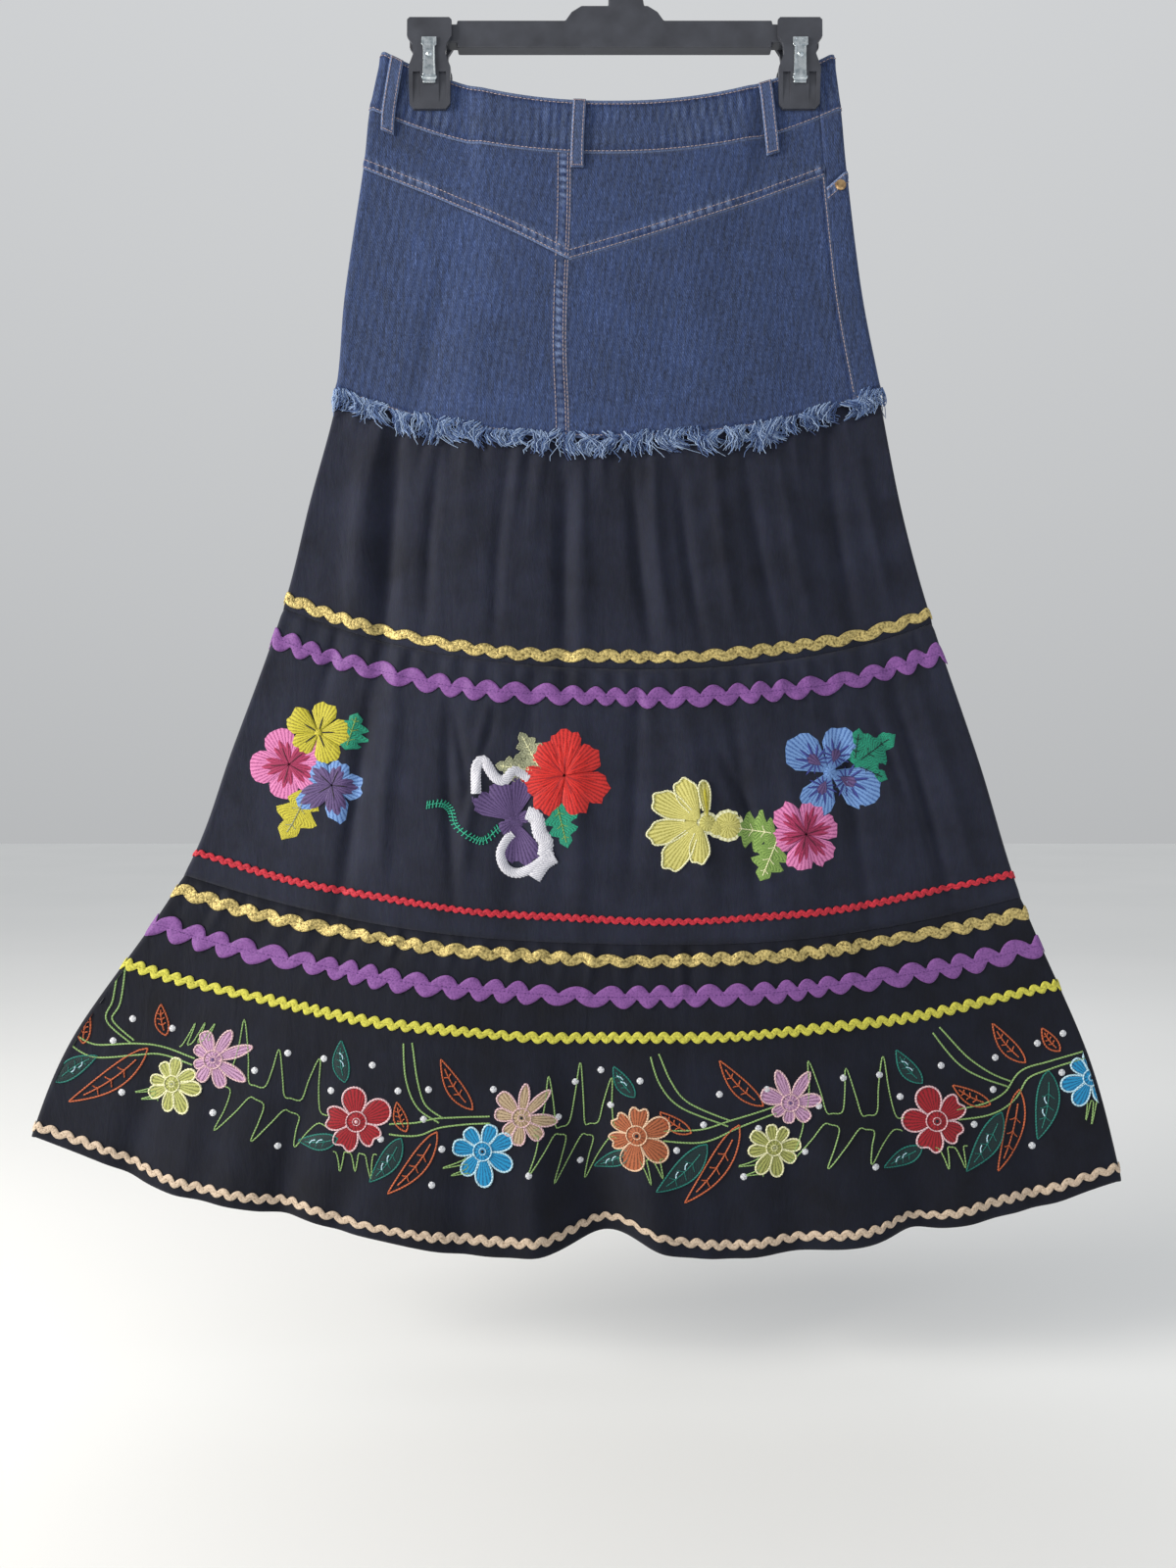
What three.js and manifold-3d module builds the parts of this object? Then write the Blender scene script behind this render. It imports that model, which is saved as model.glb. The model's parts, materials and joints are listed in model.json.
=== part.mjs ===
// A long denim and cotton skirt, hung by its waistband from a clip hanger. The hip part is denim with a waistband,
// belt loops, a pointed back yoke, scoop pockets in front and a frayed lower edge. Three gathered tiers of black
// cotton hang below it, with rows of ric-rac braid all round and three flower patches on the back.
// Millimetres, +Z up. The origin is the inside top of the hanger's hook, where a rail carries it.
// The back of the skirt faces -Y and its front +Y, and +X is to the right of someone who looks at the back.
import * as THREE from "three";
import { mergeVertices } from "three/addons/utils/BufferGeometryUtils.js";
import Module from "manifold-3d";

const wasm = await Module();
wasm.setup();

const GAP = 0.3; // between pieces that are sewn to each other or lie on each other
const BACK = -1; // the side that faces -Y
const FRONT = 1;

// Cloth walls
const WAISTBAND_THICK = 2.2;
const DENIM_THICK = 1.6;
const COTTON_THICK = 1.3;
const COTTON_UNDER = DENIM_THICK + 2 * GAP; // the cotton hangs inside the denim's lower edge
const PATCH_THICK = 1.2;
const PATCH_LIFT = 0.8;
const PATCH_LEVELS = [6.4, 7.1, 7.9]; // rows of points that a patch's slab has, clear of the braids

// One row for each level of the skirt, from the waist down: where its two side folds lie, how far its middle hangs
// below the line between them, half of its depth through the middle, and the radius of the side folds.
const LEVELS = [
  { name: "waistTop", leftX: -190, leftZ: -107, rightX: 179, rightZ: -109, sag: 41, depth: 7, fold: 3.4 },
  { name: "waistSeam", leftX: -200, leftZ: -155, rightX: 185, rightZ: -155, sag: 38, depth: 9, fold: 3.6 },
  { name: "hip", leftX: -205, leftZ: -201, rightX: 190, rightZ: -207, sag: 38, depth: 12, fold: 4 },
  { name: "seat", leftX: -220, leftZ: -303, rightX: 202, rightZ: -303, sag: 39, depth: 15, fold: 4.5 },
  { name: "denimHem", leftX: -228, leftZ: -385, rightX: 218, rightZ: -385, sag: 41, depth: 18, fold: 5 },
  { name: "upperMiddle", leftX: -251, leftZ: -474, rightX: 237, rightZ: -482, sag: 43, depth: 22, fold: 5.5 },
  { name: "seamOne", leftX: -273, leftZ: -561, rightX: 262, rightZ: -573, sag: 44, depth: 26, fold: 6 },
  { name: "middleMiddle", leftX: -313, leftZ: -672, rightX: 300, rightZ: -686, sag: 44, depth: 29, fold: 6.5 },
  { name: "seamTwo", leftX: -354, leftZ: -778, rightX: 334, rightZ: -796, sag: 43, depth: 32, fold: 7 },
  { name: "lowerMiddle", leftX: -443, leftZ: -908, rightX: 389, rightZ: -925, sag: 51, depth: 36, fold: 7.5 },
  { name: "hem", leftX: -478, leftZ: -990, rightX: 416, rightZ: -1026, sag: 65, depth: 40, fold: 8 },
];
const AT = Object.fromEntries(LEVELS.map((row, i) => [row.name, i]));
const SAG_POWER = 2.3; // above 2, a hanging line that is flatter in its middle
const FOLD_SHARE = 0.02; // of a side's width is given to the quarter round of each side fold
const BULGE_SHARE = 0.36; // of a side's width, in which the two sides part to their full depth

// The soft folds, one row each. A fold runs from one level to another, at a share of the side's width that shifts on
// its way down. height is out from the wall, or into it where negative. open folds run out through the lower edge.
const FOLDS = [
  { side: BACK, from: 4, to: 6.1, top: 0.062, bottom: 0.105, width: 13, height: 3, open: false },
  { side: BACK, from: 4, to: 6.4, top: 0.11, bottom: 0.16, width: 15, height: -5, open: false },
  { side: BACK, from: 4, to: 6.2, top: 0.52, bottom: 0.555, width: 14, height: -4, open: false },
  { side: BACK, from: 4.1, to: 6, top: 0.66, bottom: 0.74, width: 12, height: -3, open: false },
  { side: BACK, from: 4.1, to: 6, top: 0.84, bottom: 0.9, width: 12, height: -3, open: false },
  { side: BACK, from: 6.1, to: 8.2, top: 0.15, bottom: 0.2, width: 12, height: -4, open: false },
  { side: BACK, from: 6.2, to: 8, top: 0.36, bottom: 0.33, width: 20, height: -3, open: false },
  { side: BACK, from: 6.2, to: 8, top: 0.86, bottom: 0.87, width: 16, height: -4, open: false },
  { side: BACK, from: 8.2, to: 10, top: 0.49, bottom: 0.522, width: 42, height: -24, open: true },
  { side: BACK, from: 8.4, to: 10, top: 0.33, bottom: 0.37, width: 60, height: 6, open: true },
  { side: BACK, from: 8.4, to: 10, top: 0.7, bottom: 0.74, width: 60, height: 6, open: true },
  { side: BACK, from: 8.6, to: 10, top: 0.24, bottom: 0.245, width: 26, height: -8, open: true },
  { side: BACK, from: 8.5, to: 10, top: 0.84, bottom: 0.87, width: 26, height: -9, open: true },
  { side: FRONT, from: 4, to: 6.2, top: 0.3, bottom: 0.26, width: 15, height: -5, open: false },
  { side: FRONT, from: 4, to: 6.3, top: 0.72, bottom: 0.78, width: 14, height: -4, open: false },
  { side: FRONT, from: 6.2, to: 8.2, top: 0.42, bottom: 0.4, width: 16, height: -4, open: false },
  { side: FRONT, from: 6.2, to: 8, top: 0.8, bottom: 0.83, width: 15, height: -4, open: false },
  { side: FRONT, from: 8.2, to: 10, top: 0.34, bottom: 0.32, width: 44, height: -20, open: true },
  { side: FRONT, from: 8.2, to: 10, top: 0.66, bottom: 0.69, width: 44, height: -18, open: true },
];

// The tiers. columns counts the steps across one side, and each pair of steps is one gather. The gathers stand out by
// gather from the level gathered down, and die away below. levels are the rows of points down the tier.
const TIERS = [
  { name: "upper_tier", gathered: 4.3, columns: 40, gather: 1.4, levels: [3.9, 4.1, 4.3, 5, 6] },
  { name: "middle_tier", gathered: 6, columns: 44, gather: 1.5, levels: [6, 6.4, 7.1, 8] },
  { name: "lower_tier", gathered: 8, columns: 50, gather: 1.7, levels: [8, 8.62, 9.2, 9.75, 10] },
];

// The rows of ric-rac, each on its tier at a level. swing is from the middle line to the middle of a wave's crest,
// and a row with no swing here is braid too fine for waves of its own. A row has a step at every so many columns of
// its tier's wall, so that a plain one runs from ridge to ridge.
const BRAIDS = [
  { name: "gold_braid_upper", tier: 0, level: 5.91, width: 8, swing: 2.6, every: 1, colour: "#b8a24c" },
  { name: "purple_braid_upper", tier: 1, level: 6.22, width: 12, swing: 4.2, every: 1, colour: "#8a4fa0" },
  { name: "red_braid", tier: 1, level: 7.83, width: 6.5, swing: 0, every: 2, colour: "#b02235" },
  { name: "gold_braid_lower", tier: 2, level: 8.09, width: 8, swing: 2.6, every: 1, colour: "#b8a24c" },
  { name: "purple_braid_lower", tier: 2, level: 8.3, width: 13, swing: 5, every: 1, colour: "#8a4fa0" },
  { name: "yellow_braid", tier: 2, level: 8.53, width: 8.5, swing: 0, every: 2, colour: "#c9cc3f" },
  { name: "beige_braid", tier: 2, level: 9.85, width: 11, swing: 0, every: 1, colour: "#c4a98c" },
];
const BRAID_THICK = 1.1;
const BRAID_LIFT = 0.6; // clears the facets of the gathered wall

// The denim
const SIDE_SEAM = 0.945; // the right side seam, a share of the back's width; the front wraps round to it
const LEFT_SEAM = 1.96; // the left side seam lies on the front, counted on round the skirt
const CENTRE_BACK = 0.432;
const CENTRE_FRONT = 1.4525;
const DENIM_PITCH = 0.04; // between the columns of the denim's walls, a share of a side's width
const YOKE_LEFT_Z = -201;
const YOKE_POINT_Z = -281;
const YOKE_RIGHT_Z = -209;
const POCKET_TOP = 0.26; // how far the pocket's mouth runs along the waistband, a share of the front's width
const POCKET_DROP = 1.07; // and how far it drops at the side seam, in levels
const FLY_SHARE = 0.1;
const FLY_LEVELS = 2;
const FLY_THICK = 1.2;
const LOOP_THICK = 1.5;
const LOOP_WIDTH = 10.5;
const LOOP_RISE = 1.4; // the middle of a belt loop stands off the waistband
const LOOPS = [
  { name: "belt_loop_back_left", side: BACK, top: 0.028, bottom: 0.035, fromLevel: 0.03, toLevel: 1.32 },
  { name: "belt_loop_back_centre", side: BACK, top: 0.437, bottom: 0.44, fromLevel: 0.01, toLevel: 1.3 },
  { name: "belt_loop_back_right", side: BACK, top: 0.852, bottom: 0.858, fromLevel: 0.02, toLevel: 1.36 },
  { name: "belt_loop_front_left", side: FRONT, top: 0.34, bottom: 0.35, fromLevel: 0.02, toLevel: 1.3 },
  { name: "belt_loop_front_right", side: FRONT, top: 0.67, bottom: 0.66, fromLevel: 0.02, toLevel: 1.3 },
];
const RIVET_RADIUS = 4.6;
const RIVET_HEIGHT = 1.6;
const RIVETS = [
  { name: "pocket_rivet_right_side", w: 0.972, level: 2.1 },
  { name: "pocket_rivet_right_waist", w: 1.228, level: 1.13 },
  { name: "pocket_rivet_left_side", w: 1.935, level: 2.13 },
  { name: "pocket_rivet_left_waist", w: 1.676, level: 1.13 },
];
const BUTTON_RADIUS = 8.5;
const BUTTON_HEIGHT = 3;

// The frayed edge of the denim
const FRAY_STRANDS = 34; // on each side
const FRAY_STRIP = 2.5; // height of the strip that the strands grow from
const FRAY_LENGTH = 13;
const FRAY_SPREAD = 4;
const FRAY_RADIUS = 1.2;

// The flower patches on the back, seen square on. petals is 0 for a leaf, whose radius is half of its length.
const PATCHES = [
  { patch: "patch_left", petals: 5, x: -233, z: -655, radius: 25, turn: 90 },
  { patch: "patch_left", petals: 5, x: -262, z: -688, radius: 26, turn: 108 },
  { patch: "patch_left", petals: 5, x: -226, z: -706, radius: 26, turn: 60 },
  { patch: "patch_left", petals: 0, x: -252, z: -731, radius: 23, turn: 250 },
  { patch: "patch_left", petals: 0, x: -204, z: -661, radius: 14, turn: 10 },
  { patch: "patch_middle", petals: 7, x: -38, z: -698, radius: 35, turn: 80 },
  { patch: "patch_middle", petals: 0, x: -70, z: -677, radius: 21, turn: 150 },
  { patch: "patch_middle", petals: 4, x: -87, z: -712, radius: 25, turn: 60 },
  { patch: "patch_middle", petals: 5, x: -66, z: -751, radius: 26, turn: 20 },
  { patch: "patch_middle", petals: 0, x: -36, z: -733, radius: 19, turn: 280 },
  { patch: "patch_right", petals: 4, x: 175, z: -694, radius: 36, turn: 45 },
  { patch: "patch_right", petals: 0, x: 208, z: -684, radius: 20, turn: 20 },
  { patch: "patch_right", petals: 6, x: 149, z: -741, radius: 31, turn: 75 },
  { patch: "patch_right", petals: 0, x: 112, z: -742, radius: 22, turn: 160 },
  { patch: "patch_right", petals: 0, x: 124, z: -768, radius: 20, turn: 250 },
  { patch: "patch_right", petals: 5, x: 63, z: -730, radius: 29, turn: 10 },
  { patch: "patch_right", petals: 0, x: 89, z: -731, radius: 20, turn: 0 },
];
const PATCH_NAMES = ["patch_left", "patch_middle", "patch_right"];

// The hanger
const BAR_HALF = 128;
const BAR_TOP = -83;
const BAR_BOTTOM = -105;
const BAR_THICK = 12;
const TONGUE_HALF = 163; // the bar's lower end, which the clips straddle
const HUB_HALF = 40;
const HUB_TOP = -71;
const NECK_X = 9; // the neck stands off centre, because the hook's curve swings out and back
const NECK_HALF = 14;
const NECK_TOP = -56;
const HOOK_RADIUS = 23; // of the rod's middle line
const ROD_RADIUS = 3;
const CLIP_X = 150;
const CLIP_TOP = -82.5;
const CLIP_BOTTOM = -155;
const CLAMP_HALF = WAISTBAND_THICK + GAP / 2 + 0.25; // half of the waistband's thickness in the jaws
const CLAMP_PLATEAU = 28; // the cloth is flat this far from a clip's middle line
const CLAMP_FADE = 16;
const SPRING_WIDTH = 12;
const SPRING_THICK = 1;

const lerp = THREE.MathUtils.lerp;
const clamp = THREE.MathUtils.clamp;
const smoothstep = THREE.MathUtils.smoothstep;

const material = (colour, roughness, metalness = 0) =>
  new THREE.MeshStandardMaterial({ color: colour, roughness, metalness });
const DENIM = material("#34456f", 0.9);
const DENIM_FACING = material("#2f3f66", 0.9);
const COTTON = material("#1d1d28", 0.95);
const FRAY = material("#7f97bd", 0.95);
const PATCH = material("#b8407a", 0.8);
const BLACK_PLASTIC = material("#3a3b40", 0.5);
const SPRING_STEEL = material("#b9bcc0", 0.3, 1);
const BRASS = material("#9a7440", 0.35, 1);

// A smooth curve through four values, at t between the second and the third.
function smooth(a, b, c, d, t) {
  const slopeB = (c - a) / 2;
  const slopeC = (d - b) / 2;
  return (
    (2 * b - 2 * c + slopeB + slopeC) * t ** 3 + (3 * c - 3 * b - 2 * slopeB - slopeC) * t ** 2 + slopeB * t + b
  );
}

// The sizes of the skirt at any level, whole or between two rows of the table.
function sizesAt(level) {
  const last = LEVELS.length - 1;
  const i = clamp(Math.floor(level), 0, last - 1);
  const [a, b, c, d] = [Math.max(i - 1, 0), i, i + 1, Math.min(i + 2, last)].map((k) => LEVELS[k]);
  const at = (column) => smooth(a[column], b[column], c[column], d[column], level - i);
  return Object.fromEntries(["leftX", "leftZ", "rightX", "rightZ", "sag", "depth", "fold"].map((k) => [k, at(k)]));
}

// How far the soft folds move the wall out at a place.
function foldHeight(side, share, level, width) {
  let height = 0;
  for (const f of FOLDS) {
    if (f.side !== side || level <= f.from || level > f.to + 1e-6) continue;
    const run = (level - f.from) / (f.to - f.from);
    const strength = f.open ? run * run * (3 - 2 * run) : Math.sin(Math.PI * run);
    const away = ((share - lerp(f.top, f.bottom, run)) * width) / f.width;
    height += f.height * strength * Math.exp(-away * away);
  }
  return height;
}

// How far the gathers move the wall out: a ridge on every second column of the tier's grid.
function gatherHeight(share, level) {
  const tier = TIERS.find((t) => level >= t.levels[0] && level < t.levels.at(-1) - 1e-6);
  if (!tier) return 0;
  const rise = tier.levels[0] === tier.gathered ? 1 : smoothstep(level, tier.gathered - 0.2, tier.gathered);
  const fade = 1 - smoothstep(level, tier.gathered + 0.4, tier.levels.at(-1) - 0.2);
  const strength = 0.65 + 0.35 * Math.sin(11 * share + 2.1 * tier.gathered) * Math.sin(29 * share);
  const ends = smoothstep(Math.min(share, 1 - share), 0.02, 0.09);
  return tier.gather * rise * fade * strength * ends * Math.cos(Math.PI * tier.columns * share);
}

// The skirt's outer skin. w goes once round it: 0 to 1 across the back from left to right, and 1 to 2 across the front
// from right to left. lift is out from the skin.
function skin(w, level, lift = 0) {
  const turn = ((w % 2) + 2) % 2;
  const side = turn <= 1 ? BACK : FRONT;
  const across = turn <= 1 ? turn : 2 - turn;
  const size = sizesAt(level);
  const share = clamp((across - FOLD_SHARE) / (1 - 2 * FOLD_SHARE), 0, 1);
  const angle = (Math.min(1, Math.min(across, 1 - across) / FOLD_SHARE) * Math.PI) / 2;
  const width = size.rightX - size.leftX;
  const end = across < 0.5 ? -1 : 1;
  const x =
    lerp(size.leftX + size.fold, size.rightX - size.fold, share) + end * (size.fold + lift) * Math.cos(angle);
  const bulge = smoothstep(share, 0, BULGE_SHARE) * smoothstep(1 - share, 0, BULGE_SHARE);
  let half = size.fold * Math.sin(angle) + (size.depth - size.fold) * bulge;
  half += foldHeight(side, share, level, width) + gatherHeight(share, level);
  const fromClip = Math.abs(Math.abs(x) - CLIP_X);
  const nipped = 1 - smoothstep(fromClip, CLAMP_PLATEAU, CLAMP_PLATEAU + CLAMP_FADE);
  const nip = nipped * (1 - smoothstep(level, AT.waistSeam, AT.hip)) * Math.sin(angle);
  half = lerp(half, CLAMP_HALF, nip);
  const y = side * (half + lift * Math.sin(angle));
  const sag = size.sag * (1 - Math.abs(2 * share - 1) ** SAG_POWER);
  return new THREE.Vector3(x, y, lerp(size.leftZ, size.rightZ, share) - sag);
}

// The level at which the skin has a given height, on one line down the skirt.
function levelOfHeight(w, z) {
  let [high, low] = [0, LEVELS.length - 1];
  for (let i = 0; i < 24; i += 1) {
    const middle = (high + low) / 2;
    if (skin(w, middle).z > z) high = middle;
    else low = middle;
  }
  return (high + low) / 2;
}

const levelsPerMm = (w, level) => 0.02 / (skin(w, level - 0.01).z - skin(w, level + 0.01).z);
// A level moved down by a distance in millimetres.
const below = (w, level, mm) => level + mm * levelsPerMm(w, level);
// The w at a share of the back's or the front's width from the left, and a small step in w for a distance across.
const wOf = (side, share) => {
  const across = FOLD_SHARE + share * (1 - 2 * FOLD_SHARE);
  return side === BACK ? across : 2 - across;
};
const acrossMm = (level, mm) => mm / (sizesAt(level).rightX - sizesAt(level).leftX);

// The columns of a denim wall from one w to another: at the pitch that all the denim shares, and closer together on
// the quarter rounds of a side fold.
function denimColumns(from, to) {
  const tips = [0, 1, 2];
  const rounds = tips.flatMap((tip) => [-1, -0.5, 0, 0.5, 1].map((k) => tip + k * FOLD_SHARE));
  const grid = Array.from({ length: Math.ceil(2 / DENIM_PITCH) }, (_, i) => i * DENIM_PITCH);
  const clear = (w) => tips.every((tip) => Math.abs(w - tip) > 1.5 * FOLD_SHARE);
  const near = 0.2 * FOLD_SHARE;
  const inside = [...rounds, ...grid.filter(clear)].filter((w) => w > from + near && w < to - near);
  return [from, ...inside.sort((p, q) => p - q), to];
}

function mesh(name, geometry, finish) {
  const made = new THREE.Mesh(geometry, finish);
  made.name = name;
  return made;
}

// A closed wall from a grid of outer points and the same grid of inner points.
function wallGeometry(outer, inner) {
  const [columns, rows] = [outer.length, outer[0].length];
  const positions = [...outer.flat(), ...inner.flat()].flatMap((p) => [p.x, p.y, p.z]);
  const index = [];
  const quad = (a, b, c, d) => index.push(a, b, c, a, c, d);
  const out = (i, j) => i * rows + j;
  const inn = (i, j) => columns * rows + i * rows + j;
  for (let i = 0; i < columns - 1; i += 1) {
    for (let j = 0; j < rows - 1; j += 1) {
      quad(out(i, j), out(i, j + 1), out(i + 1, j + 1), out(i + 1, j));
      quad(inn(i, j), inn(i + 1, j), inn(i + 1, j + 1), inn(i, j + 1));
    }
    quad(out(i, 0), out(i + 1, 0), inn(i + 1, 0), inn(i, 0));
    quad(out(i, rows - 1), inn(i, rows - 1), inn(i + 1, rows - 1), out(i + 1, rows - 1));
  }
  for (let j = 0; j < rows - 1; j += 1) {
    quad(out(0, j), inn(0, j), inn(0, j + 1), out(0, j + 1));
    quad(out(columns - 1, j), out(columns - 1, j + 1), inn(columns - 1, j + 1), inn(columns - 1, j));
  }
  if (solidVolume(positions, index) < 0) {
    for (let k = 0; k < index.length; k += 3) [index[k + 1], index[k + 2]] = [index[k + 2], index[k + 1]];
  }
  const geometry = new THREE.BufferGeometry();
  geometry.setAttribute("position", new THREE.Float32BufferAttribute(positions, 3));
  geometry.setIndex(index);
  geometry.computeVertexNormals();
  return geometry;
}

function solidVolume(positions, index) {
  const point = (k) => new THREE.Vector3().fromArray(positions, 3 * index[k]);
  let total = 0;
  for (let k = 0; k < index.length; k += 3) total += point(k).dot(point(k + 1).cross(point(k + 2)));
  return total / 6;
}

// A cloth wall over a grid of places {w, level}, with its outer face at a lift from the skin.
function clothWall(name, places, thick, finish, lift = 0) {
  const face = (height) => places.map((column) => column.map((p) => skin(p.w, p.level, height)));
  return mesh(name, wallGeometry(face(lift), face(lift - thick)), finish);
}

// A panel of denim from one w to another, between two levels that may slope.
function panel(name, from, to, top, bottom, rows, finish = DENIM, thick = DENIM_THICK, lift = 0) {
  const inset = acrossMm(AT.seat, GAP / 2);
  const places = denimColumns(from, to).map((w, i, all) => {
    const start = below(w, top(w), GAP / 2);
    const end = below(w, bottom(w), -GAP / 2);
    const moved = i === 0 ? w + inset : i === all.length - 1 ? w - inset : w;
    return Array.from({ length: rows + 1 }, (_, j) => ({ w: moved, level: lerp(start, end, j / rows) }));
  });
  return clothWall(name, places, thick, finish, lift);
}

function solidOf(geometry) {
  const plain = geometry.clone();
  for (const extra of ["normal", "uv"]) plain.deleteAttribute(extra);
  const merged = mergeVertices(plain, 1e-4);
  const triVerts = new Uint32Array(merged.index.array);
  const vertProperties = new Float32Array(merged.attributes.position.array);
  return new wasm.Manifold(new wasm.Mesh({ numProp: 3, vertProperties, triVerts }));
}

function geometryOf(solid) {
  const made = solid.getMesh();
  const geometry = new THREE.BufferGeometry();
  geometry.setAttribute("position", new THREE.BufferAttribute(made.vertProperties.slice(), 3));
  geometry.setIndex(new THREE.BufferAttribute(made.triVerts.slice(), 1));
  geometry.computeVertexNormals();
  return geometry;
}

// A flat outline in X and Z, as a solid from one Y to another.
function plate(outline, fromY, toY) {
  const shape = new THREE.Shape(outline.map(([x, z]) => new THREE.Vector2(x, z)));
  const geometry = new THREE.ExtrudeGeometry(shape, { depth: toY - fromY, bevelEnabled: false });
  return solidOf(geometry.rotateX(Math.PI / 2).translate(0, toY, 0));
}

// The pointed yoke seam: nearly straight from each side to its point at the centre back seam.
function yokeLevel(w) {
  const onLeft = w < CENTRE_BACK;
  const run = clamp(onLeft ? w / CENTRE_BACK : (SIDE_SEAM - w) / (SIDE_SEAM - CENTRE_BACK), 0, 1);
  const bow = Math.sin(Math.PI * run) * (onLeft ? 3 : -3);
  return levelOfHeight(w, lerp(onLeft ? YOKE_LEFT_Z : YOKE_RIGHT_Z, YOKE_POINT_Z, run) + bow);
}

// The curved mouth of a front pocket, from the waistband to the side seam.
function pocketLevel(fromSideSeam) {
  const run = clamp(1 - fromSideSeam / POCKET_TOP, 0, 1);
  return AT.waistSeam + POCKET_DROP * run ** 0.55;
}
const frontTop = (w) => {
  const fromRight = pocketLevel(w - SIDE_SEAM);
  const fromLeft = pocketLevel(LEFT_SEAM - w);
  return Math.max(fromRight, fromLeft, AT.waistSeam);
};

function denimPieces() {
  const waistTop = () => AT.waistTop;
  const waistSeam = () => AT.waistSeam;
  const hem = () => AT.denimHem;
  const leftSeam = LEFT_SEAM - 2; // as reached from the back
  const facingRight = Math.floor((SIDE_SEAM + POCKET_TOP) / DENIM_PITCH) * DENIM_PITCH;
  const facingLeft = Math.ceil((LEFT_SEAM - POCKET_TOP) / DENIM_PITCH) * DENIM_PITCH;
  const mouth = (w) => below(w, frontTop(w), -GAP);
  const band = (name, from, to) => panel(name, from, to, waistTop, waistSeam, 1, DENIM, WAISTBAND_THICK);
  return [
    band("waistband_back", leftSeam, SIDE_SEAM),
    band("waistband_front_right", SIDE_SEAM, CENTRE_FRONT),
    band("waistband_front_left", CENTRE_FRONT, LEFT_SEAM),
    panel("yoke_back_left", leftSeam, CENTRE_BACK, waistSeam, yokeLevel, 2),
    panel("yoke_back_right", CENTRE_BACK, SIDE_SEAM, waistSeam, yokeLevel, 2),
    panel("denim_back_left", leftSeam, CENTRE_BACK, yokeLevel, hem, 4),
    panel("denim_back_right", CENTRE_BACK, SIDE_SEAM, yokeLevel, hem, 4),
    panel("denim_front_right", SIDE_SEAM, CENTRE_FRONT, frontTop, hem, 4),
    panel("denim_front_left", CENTRE_FRONT, LEFT_SEAM, frontTop, hem, 4),
    panel("pocket_facing_right", SIDE_SEAM, facingRight, waistSeam, mouth, 2, DENIM_FACING),
    panel("pocket_facing_left", facingLeft, LEFT_SEAM, waistSeam, mouth, 2, DENIM_FACING),
    panel("fly", CENTRE_FRONT + 0.003, CENTRE_FRONT + FLY_SHARE, () => AT.waistSeam + 0.02,
      () => AT.waistSeam + FLY_LEVELS, 4, DENIM, FLY_THICK, FLY_THICK + 0.5),
  ];
}

// A belt loop: a strip that is sewn at both ends and stands off the waistband between them.
function beltLoop(loop) {
  const sections = [0, 0.12, 0.3, 0.7, 0.88, 1].map((t) => {
    const level = lerp(loop.fromLevel, loop.toLevel, t);
    const half = acrossMm(level, LOOP_WIDTH / 2);
    const share = lerp(loop.top, loop.bottom, t);
    const lift = 0.9 + LOOP_RISE * smoothstep(Math.min(t, 1 - t), 0, 0.25);
    const at = (s, height) => skin(wOf(loop.side, share + s * half), level, height);
    return { outer: [at(-1, lift + LOOP_THICK), at(1, lift + LOOP_THICK)], inner: [at(-1, lift), at(1, lift)] };
  });
  return mesh(loop.name, wallGeometry(sections.map((s) => s.outer), sections.map((s) => s.inner)), DENIM);
}

// A round headed stud on the skin: a rivet or the waist button.
function stud(name, w, level, radius, height) {
  const profile = [[0, 0], [radius, 0], [radius, height * 0.45], [radius * 0.72, height], [0, height]];
  const geometry = new THREE.LatheGeometry(profile.map(([r, h]) => new THREE.Vector2(r, h)), 10);
  const made = mesh(name, geometry, BRASS);
  made.position.copy(skin(w, level, 2 * GAP));
  if (made.position.y < 0) made.rotation.x = Math.PI;
  return made;
}

// The w of each column of a tier on one side, between its two side seams.
function tierColumns(tier, side) {
  const inset = acrossMm(tier.levels.at(-1), GAP);
  const straight = Array.from({ length: tier.columns + 1 }, (_, i) => wOf(side, i / tier.columns));
  const [first, last] = [straight[0], straight.at(-1)];
  const leftTip = side === BACK ? inset : 2 - inset;
  const rightTip = side === BACK ? 1 - inset : 1 + inset;
  return [leftTip, lerp(leftTip, first, 0.5), ...straight, lerp(last, rightTip, 0.5), rightTip];
}

// A point of a tier's faceted wall, on one of its columns and at any level.
function onTier(tier, w, level, lift) {
  const rows = tier.levels;
  const j = clamp(rows.findIndex((l) => l > level) - 1, 0, rows.length - 2);
  const ends = [rows[j], rows[j + 1]].map((l) => Math.min(l, rows.at(-1) - 1e-4));
  const [a, b] = ends.map((l) => skin(w, l, lift - COTTON_UNDER));
  return a.lerp(b, (level - rows[j]) / (rows[j + 1] - rows[j]));
}

function tierWall(tier, side) {
  const last = tier.levels.length - 1;
  const place = (w, level, j) => {
    if (j === 0) return { w, level: below(w, level, GAP / 2) };
    return { w, level: j === last ? below(w, level - 1e-4, -GAP / 2) : level };
  };
  const places = tierColumns(tier, side).map((w) => tier.levels.map((level, j) => place(w, level, j)));
  return clothWall(`${tier.name}_${sideName(side)}`, places, COTTON_THICK, COTTON, -COTTON_UNDER);
}

const sideName = (side) => (side === BACK ? "back" : "front");

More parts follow.
